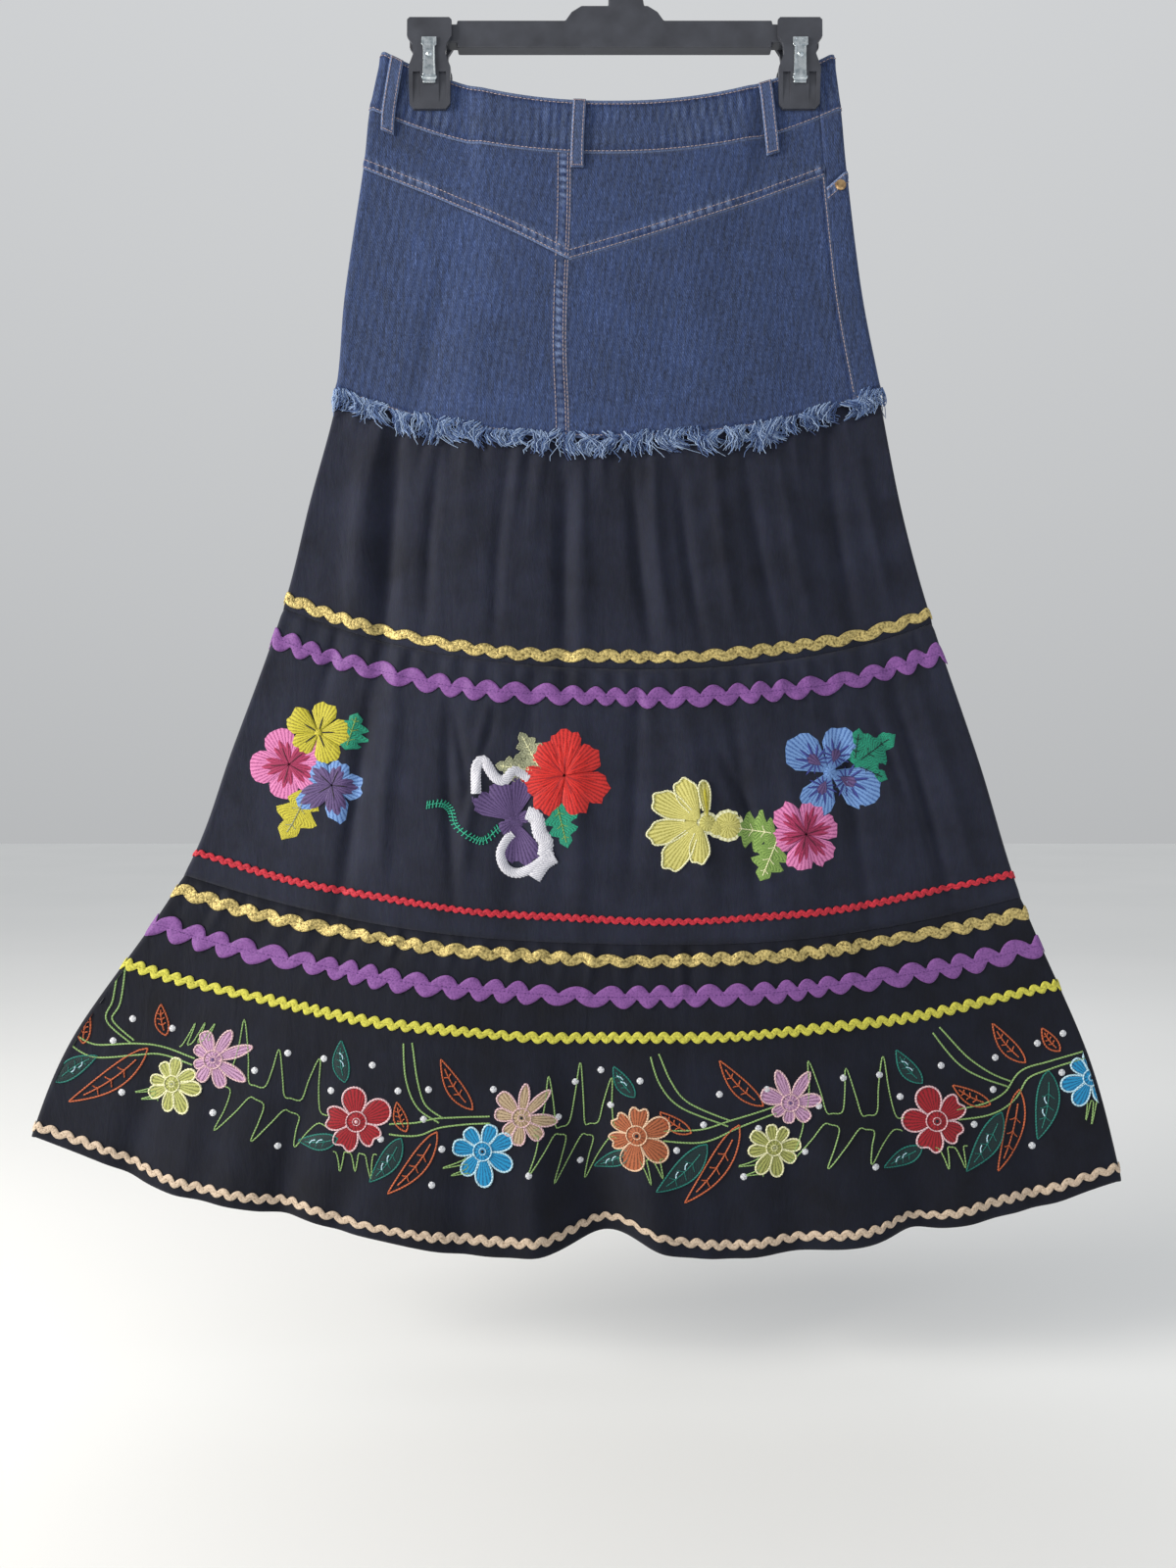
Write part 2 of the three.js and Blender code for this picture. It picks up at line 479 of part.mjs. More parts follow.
// A row of ric-rac on a tier: a braid that swings up and down from one column of the wall to the next.
function braid(row, side) {
  const tier = TIERS[row.tier];
  const columns = tierColumns(tier, side);
  const used = columns.filter((_, i) => i < 3 || i > columns.length - 4 || (i - 2) % row.every === 0);
  const sections = used.map((w, i) => {
    const swing = row.swing * (i % 2 ? 1 : -1);
    const edge = (mm, lift) => onTier(tier, w, below(w, row.level, mm), lift);
    const face = (lift) => [edge(swing - row.width / 2, lift), edge(swing + row.width / 2, lift)];
    return { outer: face(BRAID_LIFT + BRAID_THICK), inner: face(BRAID_LIFT) };
  });
  const geometry = wallGeometry(sections.map((s) => s.outer), sections.map((s) => s.inner));
  return mesh(`${row.name}_${sideName(side)}`, geometry, material(row.colour, 0.8));
}

// A repeatable number from 0 to 1 for each whole number, for what is uneven in the real thing.
const uneven = (n) => {
  const wave = Math.sin(n * 127.1 + 11.7) * 43758.5453;
  return wave - Math.floor(wave);
};

// The denim's frayed edge on one side: a narrow strip under the denim's lower edge, and the threads that hang from it.
function fray(side) {
  const ends = side === BACK ? [LEFT_SEAM - 2, SIDE_SEAM] : [SIDE_SEAM, LEFT_SEAM];
  const inset = acrossMm(AT.denimHem, GAP / 2);
  const columns = denimColumns(ends[0] + inset, ends[1] - inset);
  const edge = (w, mm, lift) => skin(w, below(w, AT.denimHem, GAP / 2 + mm), lift);
  const face = (lift) => columns.map((w) => [edge(w, 0, lift), edge(w, FRAY_STRIP, lift)]);
  let solid = solidOf(wallGeometry(face(0), face(-DENIM_THICK)));
  for (let i = 0; i < FRAY_STRANDS; i += 1) {
    const run = (i + 0.5 + 0.4 * (uneven(i) - 0.5)) / FRAY_STRANDS;
    const w = lerp(columns[0], columns.at(-1), clamp(run, 0.004, 0.996));
    const k = columns.findIndex((c) => c >= w);
    const [a, b] = [columns[k - 1], columns[k]].map((c) => edge(c, FRAY_STRIP / 2, -DENIM_THICK / 2));
    const root = a.lerp(b, (w - columns[k - 1]) / (columns[k] - columns[k - 1]));
    const sideways = acrossMm(AT.denimHem, FRAY_SPREAD * 2 * (uneven(i + 600) - 0.5));
    const drop = FRAY_LENGTH * (0.75 + 0.5 * uneven(i + 300));
    const tip = edge(w + sideways, drop, 2 + FRAY_SPREAD * uneven(i + 900));
    solid = solid.add(thread(root, tip));
  }
  return mesh(`fray_${sideName(side)}`, geometryOf(solid), FRAY);
}

function thread(root, tip) {
  const along = tip.clone().sub(root);
  const geometry = new THREE.ConeGeometry(FRAY_RADIUS, along.length(), 3);
  geometry.translate(0, along.length() / 2, 0);
  geometry.applyQuaternion(new THREE.Quaternion().setFromUnitVectors(new THREE.Vector3(0, 1, 0), along.normalize()));
  return solidOf(geometry.translate(root.x, root.y, root.z));
}

// The outline of one flower or leaf in X and Z.
function motif(m) {
  const points = m.petals ? m.petals * 3 : 8;
  return Array.from({ length: points }, (_, i) => {
    const a = (2 * Math.PI * i) / points;
    const lobe = Math.abs(Math.sin((m.petals * a) / 2));
    const reach = m.petals ? m.radius * (0.62 + 0.44 * lobe) : m.radius * (0.42 + 0.58 * Math.cos(a) ** 4);
    const at = a + THREE.MathUtils.degToRad(m.turn);
    return [m.x + reach * Math.cos(at), m.z + reach * Math.sin(at)];
  });
}

// A flower patch on the back: a slab made from the middle tier's own points, moved out, and cut to its motifs.
function patch(name) {
  const tier = TIERS[1];
  const motifs = PATCHES.filter((m) => m.patch === name);
  const reach = motifs.flatMap((m) => [m.x - m.radius, m.x + m.radius]);
  const [fromX, toX] = [Math.min(...reach), Math.max(...reach)];
  const ridges = tierColumns(tier, BACK).slice(2, -2).filter((_, i) => i % 2 === 0);
  const near = (w) => Math.abs(skin(w, AT.middleMiddle).x - (fromX + toX) / 2) < (toX - fromX) / 2 + 26;
  const face = (lift) => ridges.filter(near).map((w) => PATCH_LEVELS.map((level) => onTier(tier, w, level, lift)));
  const slab = solidOf(wallGeometry(face(PATCH_LIFT + PATCH_THICK), face(PATCH_LIFT)));
  const outlines = motifs.map((m) => plate(motif(m), -2 * LEVELS[AT.middleMiddle].depth, 0));
  return mesh(name, geometryOf(slab.intersect(wasm.Manifold.union(outlines))), PATCH);
}

// The hanger's bar with its hub and neck, and the lower ends that the clips straddle.
function hangerBar() {
  const outline = [
    [-BAR_HALF, BAR_BOTTOM], [BAR_HALF, BAR_BOTTOM], [BAR_HALF, BAR_BOTTOM + 4], [TONGUE_HALF, BAR_BOTTOM + 4],
    [TONGUE_HALF, BAR_TOP - 3], [BAR_HALF, BAR_TOP - 3], [BAR_HALF, BAR_TOP], [HUB_HALF, BAR_TOP],
    [HUB_HALF - 5, HUB_TOP - 5], [HUB_HALF - 13, HUB_TOP], [NECK_X + NECK_HALF + 1, HUB_TOP],
    [NECK_X + NECK_HALF - 1, NECK_TOP - 3], [NECK_X + NECK_HALF - 5, NECK_TOP],
    [NECK_X - NECK_HALF + 5, NECK_TOP], [NECK_X - NECK_HALF, NECK_TOP - 3], [NECK_X - NECK_HALF, HUB_TOP],
    [-HUB_HALF + 13, HUB_TOP], [-HUB_HALF + 5, HUB_TOP - 5], [-HUB_HALF, BAR_TOP], [-BAR_HALF, BAR_TOP],
    [-BAR_HALF, BAR_TOP - 3], [-TONGUE_HALF, BAR_TOP - 3], [-TONGUE_HALF, BAR_BOTTOM + 4],
    [-BAR_HALF, BAR_BOTTOM + 4],
  ];
  return mesh("hanger_bar", geometryOf(plate(outline, -BAR_THICK / 2, BAR_THICK / 2)), BLACK_PLASTIC);
}

// The hook: a round rod that rises from the neck, swings out and curves over the rail.
function hangerHook() {
  const path = new THREE.CurvePath();
  const bend = (...ends) => {
    path.add(new THREE.CubicBezierCurve3(...ends.map(([x, z]) => new THREE.Vector3(x, 0, z))));
  };
  const r = HOOK_RADIUS;
  const top = ROD_RADIUS; // of the middle line, so that the inside top is the origin
  const middle = top - r;
  const k = 0.5523 * r; // makes a cubic curve a quarter of a circle
  const foot = NECK_TOP + GAP;
  bend([NECK_X, foot], [NECK_X, foot + 16], [r, middle - 18], [r, middle]);
  bend([r, middle], [r, middle + k], [k, top], [0, top]);
  bend([0, top], [-k, top], [-r, middle + k], [-r, middle]);
  bend([-r, middle], [-r, middle - 5], [-r + 2, middle - 10], [-r + 4, middle - 13]);
  const section = new THREE.Shape();
  section.absarc(0, 0, ROD_RADIUS, 0, 2 * Math.PI, false);
  const geometry = new THREE.ExtrudeGeometry(section, { steps: 18, curveSegments: 4, extrudePath: path });
  return mesh("hanger_hook", geometry, BLACK_PLASTIC);
}

// A clip's outer face from the side: how far out it stands at each height.
const JAW_FACE = [
  { z: CLIP_TOP + 2, out: 9 },
  { z: -104, out: 10 },
  { z: -122, out: 8.5 },
  { z: CLIP_BOTTOM - 1, out: 6 },
];
const faceOut = (z) => {
  const i = clamp(JAW_FACE.findIndex((row) => row.z <= z), 1, JAW_FACE.length - 1);
  const [a, b] = [JAW_FACE[i - 1], JAW_FACE[i]];
  return lerp(a.out, b.out, (z - a.z) / (b.z - a.z));
};

// One jaw of a clip: its outline from the front, cut with its profile from the side.
function jaw(name, x, side) {
  const half = [[13, CLIP_BOTTOM], [16.5, CLIP_BOTTOM + 4], [17, -122], [13, -112], [14, -104], [18, -98],
    [18, CLIP_TOP - 2], [16, CLIP_TOP]];
  const outline = [...half, ...half.toReversed().map(([dx, z]) => [-dx, z])].map(([dx, z]) => [x + dx, z]);
  const reach = 16;
  const front = side === BACK ? plate(outline, -reach, 0) : plate(outline, 0, reach);
  const grip = CLAMP_HALF + GAP;
  const seat = BAR_THICK / 2 + GAP;
  const inner = [[seat, CLIP_TOP + 2], [seat, BAR_BOTTOM - 2], [grip, BAR_BOTTOM - 11], [grip, CLIP_BOTTOM - 1]];
  const profile = [...inner, ...JAW_FACE.toReversed().map((row) => [row.out, row.z])];
  const shape = new THREE.Shape(profile.map(([y, z]) => new THREE.Vector2(side * y, z)));
  const across = new THREE.ExtrudeGeometry(shape, { depth: 40, bevelEnabled: false });
  const axes = [[0, 1, 0], [0, 0, 1], [1, 0, 0]].map((axis) => new THREE.Vector3(...axis));
  across.applyMatrix4(new THREE.Matrix4().makeBasis(...axes)).translate(x - 20, 0, 0);
  let solid = front.intersect(solidOf(across));
  for (const dx of [-10.5, 10.5]) {
    const floor = faceOut(-138) - 1;
    const groove = [[-3, CLIP_BOTTOM + 5], [3, CLIP_BOTTOM + 5], [3, -126], [-3, -126]];
    const slot = groove.map(([gx, z]) => [x + dx + gx, z]);
    solid = solid.subtract(side === BACK ? plate(slot, -reach, -floor) : plate(slot, floor, reach));
  }
  return mesh(name, geometryOf(solid), BLACK_PLASTIC);
}

// The steel leaf that presses a clip's near jaw, lying on its face.
function clipSpring(name, x) {
  const sections = [-99.5, -104, -113, -122, -129, -135.5].map((z) => {
    const at = (dx, out) => new THREE.Vector3(x + dx, -faceOut(z) - GAP - out, z);
    const half = SPRING_WIDTH / 2;
    return { outer: [at(-half, SPRING_THICK), at(half, SPRING_THICK)], inner: [at(-half, 0), at(half, 0)] };
  });
  return mesh(name, wallGeometry(sections.map((s) => s.outer), sections.map((s) => s.inner)), SPRING_STEEL);
}

function hangerPieces() {
  return [
    hangerBar(), hangerHook(),
    jaw("clip_left_near_jaw", -CLIP_X, BACK), jaw("clip_left_far_jaw", -CLIP_X, FRONT),
    jaw("clip_right_near_jaw", CLIP_X, BACK), jaw("clip_right_far_jaw", CLIP_X, FRONT),
    clipSpring("clip_left_spring", -CLIP_X), clipSpring("clip_right_spring", CLIP_X),
  ];
}

const skirt = new THREE.Group();
skirt.add(...hangerPieces(), ...denimPieces(), ...LOOPS.map(beltLoop));
skirt.add(...RIVETS.map((r) => stud(r.name, r.w, r.level, RIVET_RADIUS, RIVET_HEIGHT)));
skirt.add(stud("waist_button", CENTRE_FRONT + 0.035, 0.5, BUTTON_RADIUS, BUTTON_HEIGHT));
for (const side of [BACK, FRONT]) {
  skirt.add(fray(side), ...TIERS.map((tier) => tierWall(tier, side)));
  skirt.add(...BRAIDS.map((row) => braid(row, side)));
}
skirt.add(...PATCH_NAMES.map(patch));

export default skirt;
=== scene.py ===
"""A denim skirt with three gathered tiers of black cotton, hung from a clip hanger.

It gives the solids their cloth, braid, stitching, needlework, metal and plastic. Lengths are in millimetres
up to the place where a mesh is made, and in metres after it. The back of the skirt faces -Y.
"""
import json
import math
import random

import bpy
import numpy as np
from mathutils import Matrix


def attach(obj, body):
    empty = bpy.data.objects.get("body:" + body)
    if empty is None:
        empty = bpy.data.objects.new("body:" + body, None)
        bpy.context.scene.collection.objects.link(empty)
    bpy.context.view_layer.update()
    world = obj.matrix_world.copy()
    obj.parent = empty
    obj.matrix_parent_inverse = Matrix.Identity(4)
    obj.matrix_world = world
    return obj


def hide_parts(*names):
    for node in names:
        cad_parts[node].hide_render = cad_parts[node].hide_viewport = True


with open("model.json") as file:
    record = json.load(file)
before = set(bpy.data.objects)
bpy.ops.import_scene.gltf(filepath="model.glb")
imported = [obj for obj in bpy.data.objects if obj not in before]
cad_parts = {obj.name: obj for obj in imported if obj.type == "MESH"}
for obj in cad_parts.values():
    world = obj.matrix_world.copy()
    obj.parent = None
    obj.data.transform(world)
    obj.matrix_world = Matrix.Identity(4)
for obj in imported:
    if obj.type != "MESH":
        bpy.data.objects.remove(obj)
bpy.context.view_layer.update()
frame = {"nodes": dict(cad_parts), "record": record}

MM = 0.001
BACK, FRONT = -1, 1

# The form of the skirt, as the solids have it. One row for each level, from the waist down.
SIZE_NAMES = ("left_x", "left_z", "right_x", "right_z", "sag", "depth", "fold")
LEVELS = np.array([
    (-190, -107, 179, -109, 41, 7, 3.4),  # waist, top
    (-200, -155, 185, -155, 38, 9, 3.6),  # waistband's lower seam
    (-205, -201, 190, -207, 38, 12, 4),  # hip
    (-220, -303, 202, -303, 39, 15, 4.5),  # seat
    (-228, -385, 218, -385, 41, 18, 5),  # denim's frayed edge
    (-251, -474, 237, -482, 43, 22, 5.5),
    (-273, -561, 262, -573, 44, 26, 6),  # seam between the upper and the middle tier
    (-313, -672, 300, -686, 44, 29, 6.5),
    (-354, -778, 334, -796, 43, 32, 7),  # seam between the middle and the lower tier
    (-443, -908, 389, -925, 51, 36, 7.5),
    (-478, -990, 416, -1026, 65, 40, 8),  # hem
], dtype=float)
WAIST, WAIST_SEAM, HIP, DENIM_HEM, SEAM_ONE, SEAM_TWO, HEM = 0, 1, 2, 4, 6, 8, 10
SAG_POWER = 2.3
FOLD_SHARE = 0.02
BULGE_SHARE = 0.36
CLIP_X = 150.0
CLAMP_HALF = 2.6
CLAMP_PLATEAU = 28.0
CLAMP_FADE = 16.0
DENIM_THICK = 1.3
WAISTBAND_THICK = 2.1
COTTON_THICK = 0.8
COTTON_UNDER = 2.2
SEAM_GAP = 0.1

CENTRE_BACK = 0.432
CENTRE_FRONT = 1.4525
SIDE_SEAM = 0.945
LEFT_SEAM = 1.96
YOKE_LEFT_Z, YOKE_POINT_Z, YOKE_RIGHT_Z = -201.0, -281.0, -209.0
POCKET_TOP = 0.26
POCKET_DROP = 1.07

# The creases, given one by one. A row gives the side, the levels that the crease runs between, its
# share of the side's width at its two ends, its half width and height in mm, and how it dies away: "mid" is
# strongest in its middle, "seam" at its upper end and "open" at its lower end, where it runs out through
# the hem.
CREASES = [
    (BACK, 4, 6.1, 0.062, 0.105, 10.4, 4.9, "mid"),
    (BACK, 4, 6.4, 0.11, 0.16, 8.8, -8.7, "mid"),
    (BACK, 4, 6.2, 0.425, 0.433, 7.2, -5.2, "mid"),
    (BACK, 4, 6.1, 0.455, 0.46, 8, 3.5, "mid"),
    (BACK, 4.1, 6, 0.19, 0.215, 5.6, -3.2, "mid"),
    (BACK, 4.1, 5.6, 0.25, 0.262, 8, 2.0, "seam"),
    (BACK, 4.2, 6, 0.315, 0.322, 5.6, -2.8, "mid"),
    (BACK, 4.1, 5.7, 0.37, 0.372, 6, 1.8, "seam"),
    (BACK, 4.1, 6, 0.54, 0.57, 6.4, -4.6, "mid"),
    (BACK, 4.1, 6, 0.575, 0.6, 6.4, 3.5, "mid"),
    (BACK, 4.1, 6, 0.624, 0.65, 5.6, -3.8, "mid"),
    (BACK, 4.1, 5.8, 0.69, 0.705, 6.4, 3.2, "mid"),
    (BACK, 4.1, 6, 0.744, 0.77, 6.4, -4.3, "mid"),
    (BACK, 4.1, 5.9, 0.81, 0.825, 6.4, 3.5, "mid"),
    (BACK, 4.0, 6.1, 0.9, 0.885, 7.2, -5.2, "mid"),
    (BACK, 4.1, 5.9, 0.955, 0.95, 4.8, 2.9, "mid"),
    (BACK, 6.1, 8.2, 0.15, 0.185, 7.2, -5.5, "mid"),
    (BACK, 6.1, 7.8, 0.185, 0.22, 8, 3.8, "mid"),
    (BACK, 6.1, 7.4, 0.08, 0.1, 9, -2.4, "seam"),
    (BACK, 6.2, 7.9, 0.262, 0.32, 5.6, -4.3, "mid"),
    (BACK, 6.2, 7.7, 0.325, 0.317, 5.6, 3.2, "mid"),
    (BACK, 6.1, 8, 0.39, 0.385, 9.6, -3.2, "mid"),
    (BACK, 6.3, 8, 0.455, 0.47, 8.8, 3.2, "mid"),
    (BACK, 6.1, 7.7, 0.545, 0.53, 7.2, -3.2, "mid"),
    (BACK, 6.2, 8, 0.61, 0.63, 11.2, 3.5, "mid"),
    (BACK, 6.1, 7.9, 0.68, 0.69, 6.4, -3.5, "mid"),
    (BACK, 6.2, 8, 0.74, 0.755, 9.6, 2.9, "mid"),
    (BACK, 6.1, 8.1, 0.83, 0.82, 6.4, -3.8, "mid"),
    (BACK, 6.1, 8.1, 0.92, 0.925, 6.4, -6.1, "mid"),
    (BACK, 6.2, 8, 0.955, 0.96, 6.4, 3.8, "mid"),
    (BACK, 6.35, 7.0, 0.275, 0.318, 4, -3.4, "mid"),
    (BACK, 6.3, 7.1, 0.338, 0.31, 4.5, -3.4, "mid"),
    (BACK, 6.5, 7.3, 0.65, 0.705, 5, -3.2, "mid"),
    (BACK, 6.4, 7.2, 0.88, 0.9, 5, -3.6, "mid"),
    (BACK, 8.2, 10, 0.49, 0.522, 30, -26, "open"),
    (BACK, 8.4, 10, 0.455, 0.465, 16, 6, "open"),
    (BACK, 8.4, 10, 0.55, 0.575, 17, 7, "open"),
    (BACK, 8.6, 10, 0.33, 0.37, 46, 6, "open"),
    (BACK, 8.5, 10, 0.39, 0.4, 15, -4, "open"),
    (BACK, 8.4, 10, 0.7, 0.7, 22, -6, "open"),
    (BACK, 8.4, 10, 0.755, 0.76, 34, 7, "open"),
    (BACK, 8.3, 10, 0.234, 0.232, 16, -9, "open"),
    (BACK, 8.4, 10, 0.185, 0.18, 18, 5, "open"),
    (BACK, 8.2, 10, 0.085, 0.086, 13, -5, "open"),
    (BACK, 8.4, 10, 0.13, 0.135, 16, 4, "open"),
    (BACK, 8.3, 10, 0.8, 0.81, 16, -7, "open"),
    (BACK, 8.5, 10, 0.85, 0.86, 18, 5, "open"),
    (BACK, 8.2, 10, 0.925, 0.925, 15, -6, "open"),
    (BACK, 8.9, 10, 0.29, 0.285, 12, -3.5, "open"),
    (BACK, 8.9, 10, 0.645, 0.64, 14, -4, "open"),
    (FRONT, 4, 6.2, 0.3, 0.26, 10.4, -8, "mid"),
    (FRONT, 4, 6.1, 0.34, 0.31, 8, 3.8, "mid"),
    (FRONT, 4, 6.3, 0.72, 0.78, 9.6, -6.5, "mid"),
    (FRONT, 4.1, 6, 0.5, 0.51, 7.2, -4.3, "mid"),
    (FRONT, 4.1, 6, 0.6, 0.585, 7.2, 3.5, "mid"),
    (FRONT, 4.1, 6, 0.87, 0.88, 7.2, -4.3, "mid"),
    (FRONT, 4.1, 5.8, 0.13, 0.15, 7.2, -3.8, "mid"),
    (FRONT, 6.2, 8.2, 0.42, 0.4, 10.4, -5.8, "mid"),
    (FRONT, 6.2, 8, 0.8, 0.83, 9.6, -5.8, "mid"),
    (FRONT, 6.1, 7.9, 0.2, 0.18, 8, -4.3, "mid"),
    (FRONT, 6.1, 8, 0.6, 0.62, 9.6, 3.8, "mid"),
    (FRONT, 8.2, 10, 0.34, 0.32, 34, -21, "open"),
    (FRONT, 8.2, 10, 0.66, 0.69, 34, -19, "open"),
    (FRONT, 8.4, 10, 0.5, 0.51, 34, 6, "open"),
    (FRONT, 8.4, 10, 0.17, 0.16, 18, -7, "open"),
    (FRONT, 8.4, 10, 0.85, 0.86, 18, -7, "open"),
    # the hips: drag lines from the clips and over the seat
    (BACK, 1.2, 3.4, 0.13, 0.3, 15, -1.0, "mid"),
    (BACK, 1.3, 3.2, 0.86, 0.7, 15, -1.0, "mid"),
    (BACK, 2.3, 4.2, 0.2, 0.13, 11, -2.6, "mid"),
    (BACK, 2.4, 4.2, 0.28, 0.22, 14, 1.4, "mid"),
    (BACK, 2.6, 4.2, 0.62, 0.66, 17, -1.0, "mid"),
    (BACK, 2.8, 4.3, 0.8, 0.82, 14, 0.9, "mid"),
    (FRONT, 1.4, 3.6, 0.2, 0.32, 16, -1.0, "mid"),
    (FRONT, 2.2, 4.2, 0.78, 0.72, 16, -1.0, "mid"),
]

# The small gathers under each gathered seam: the level of the seam, how many on a side, and the longest
# in levels.
GATHERED_SEAMS = [
    {"seam": 4.05, "count": 40, "longest": 1.2},
    {"seam": 6.0, "count": 52, "longest": 0.85},
    {"seam": 8.0, "count": 60, "longest": 0.62},
]

# Where the hem is drawn up between its waves: the share of the side's width, then in mm the half width and
# the rise.
HEM_NOTCHES = {
    BACK: [(0.12, 40, -5), (0.25, 24, 3), (0.42, 60, -5), (0.536, 34, 13), (0.64, 30, -3), (0.8, 22, 5),
           (0.93, 30, -4)],
    FRONT: [(0.32, 30, 8), (0.69, 30, 8), (0.16, 20, 5), (0.86, 20, 5)],
}


def small_gathers():
    """The little gathers at each gathered seam, uneven in their spacing, length, width and depth."""
    pick = random.Random(7)
    rows = []
    for side in (BACK, FRONT):
        for row in GATHERED_SEAMS:
            for i in range(row["count"]):
                share = (i + 0.5 + pick.uniform(-0.3, 0.3)) / row["count"]
                length = row["longest"] * pick.uniform(0.25, 1.0)
                height = (1 if i % 2 else -1) * pick.uniform(0.7, 2.0)
                lower = share + pick.uniform(-0.01, 0.01)
                width = pick.uniform(3.2, 6.0)
                rows.append((side, row["seam"], row["seam"] + length, share, lower, width, height, "seam"))
    return rows


ALL_CREASES = CREASES + small_gathers()


def smooth(t):
    """Eases from 0 to 1 as t does."""
    t = np.clip(t, 0.0, 1.0)
    return t * t * (3.0 - 2.0 * t)


def mix(a, b, t):
    """The place between a and b at the share t of the way."""
    return a + (b - a) * t


def sizes_at(level):
    """The skirt's sizes at any level: a smooth curve through the rows of LEVELS."""
    last = len(LEVELS) - 1
    i = np.clip(np.floor(level).astype(int), 0, last - 1)
    t = (level - i)[..., None]
    a, b, c, d = (LEVELS[np.clip(i + k, 0, last)] for k in (-1, 0, 1, 2))
    slope_b, slope_c = (c - a) / 2, (d - b) / 2
    value = (2 * b - 2 * c + slope_b + slope_c) * t**3 + (3 * c - 3 * b - 2 * slope_b - slope_c) * t**2
    value = value + slope_b * t + b
    return {name: value[..., k] for k, name in enumerate(SIZE_NAMES)}


def hanging(size, share):
    """The height of the line between the side folds, with its sag."""
    hung = size["sag"] * (1 - np.abs(2 * share - 1) ** SAG_POWER)
    return mix(size["left_z"], size["right_z"], share) - hung


def crease_height(side, share, level, width):
    """How far the creases raise the cloth at each place, in millimetres."""
    height = np.zeros_like(share)
    for where, start, end, top, bottom, half, tall, kind in ALL_CREASES:
        run = (level - start) / (end - start)
        inside = (side == where) & (run > 0) & (run <= 1.0001)
        if not inside.any():
            continue
        run = run[inside]
        strength = {
            "mid": lambda r: np.sin(math.pi * np.clip(r, 0, 1)) ** 0.8,
            "seam": lambda r: smooth(r * 12) * (1 - smooth(r)),
            "open": smooth,
        }[kind](run)
        away = (share[inside] - mix(top, bottom, run)) * width[inside] / half
        height[inside] += tall * strength * np.exp(-away * away)
    return height


def folded(w):
    """How far across its side a place lies, from 0 at the left side fold to 1 at the right one."""
    across = np.mod(w, 2.0)
    return np.where(across <= 1.0, across, 2.0 - across)


def share_between_folds(across):
    """A place's share of the width between the two rounded side folds."""
    return np.clip((across - FOLD_SHARE) / (1 - 2 * FOLD_SHARE), 0, 1)


def skin(w, level, lift=0.0):
    """Points on the skirt.

    w runs 0 to 1 over the back, left to right, and on to 2 over the front, right to left.
    """
    given = np.broadcast_arrays(*(np.asarray(v, float) for v in (w, level, lift)))
    w, level, lift = (np.array(v) for v in given)
    side = np.where(np.mod(w, 2.0) <= 1.0, BACK, FRONT)
    across = folded(w)
    size = sizes_at(level)
    width = size["right_x"] - size["left_x"]
    share = share_between_folds(across)
    angle = np.minimum(1, np.minimum(across, 1 - across) / FOLD_SHARE) * math.pi / 2
    out = np.where(across < 0.5, -1.0, 1.0) * (size["fold"] + lift) * np.cos(angle)
    x = mix(size["left_x"] + size["fold"], size["right_x"] - size["fold"], share) + out
    bulge = smooth(share / BULGE_SHARE) * smooth((1 - share) / BULGE_SHARE)
    half = size["fold"] * np.sin(angle) + (size["depth"] - size["fold"]) * bulge
    half = half + crease_height(side, share, level, width) * smooth(np.minimum(share, 1 - share) / 0.025)
    nipped = 1 - smooth((np.abs(np.abs(x) - CLIP_X) - CLAMP_PLATEAU) / CLAMP_FADE)
    nip = nipped * (1 - smooth((level - WAIST_SEAM) / (HIP - WAIST_SEAM))) * np.sin(angle)
    half = mix(half, CLAMP_HALF, nip)
    z = hanging(size, share)
    for where, notches in HEM_NOTCHES.items():
        for place, wide, rise in notches:
            away = (share - place) * width / wide
            z = z + (side == where) * rise * smooth((level - 9) / 1.0) * np.exp(-away * away)
    return np.stack([x, side * (half + lift * np.sin(angle)), z], axis=-1)


def w_of(side, share):
    """The w of a share of a side's width."""
    across = FOLD_SHARE + np.asarray(share, float) * (1 - 2 * FOLD_SHARE)
    return across if side == BACK else 2 - across


def height_at(w, level):
    """The height of each place, in millimetres."""
    return hanging(sizes_at(level), share_between_folds(folded(w)))


def level_of_height(w, z):
    """The level at which each line down the skirt has the height z."""
    w = np.asarray(w, float)
    high, low = np.zeros_like(w), np.full_like(w, len(LEVELS) - 1.0)
    for _ in range(24):
        middle = (high + low) / 2
        above = height_at(w, middle) > z
        high, low = np.where(above, middle, high), np.where(above, low, middle)
    return (high + low) / 2


def below(w, level, mm):
    """A level moved down by a distance."""
    w, level = np.broadcast_arrays(np.asarray(w, float), np.asarray(level, float))
    return level + mm * 0.02 / (height_at(w, level - 0.01) - height_at(w, level + 0.01))


def across_mm(level, mm):
    """A distance across the skirt in millimetres, as a length of w."""
    size = sizes_at(np.asarray(level, float))
    return mm / (size["right_x"] - size["left_x"])


def yoke_level(w):
    """The pointed yoke seam."""
    w = np.asarray(w, float)
    left = w < CENTRE_BACK
    run = np.clip(np.where(left, w / CENTRE_BACK, (SIDE_SEAM - w) / (SIDE_SEAM - CENTRE_BACK)), 0, 1)
    bow = np.sin(math.pi * run) * np.where(left, 3.0, -3.0)
    return level_of_height(w, mix(np.where(left, YOKE_LEFT_Z, YOKE_RIGHT_Z), YOKE_POINT_Z, run) + bow)


def pocket_level(w):
    """The curved mouths of the two front pockets, and the waistband's seam between them."""
    w = np.asarray(w, float)
    runs = [np.clip(1 - away / POCKET_TOP, 0, 1) for away in (w - SIDE_SEAM, LEFT_SEAM - w)]
    return WAIST_SEAM + POCKET_DROP * np.maximum(*runs) ** 0.55


# Colours and finishes

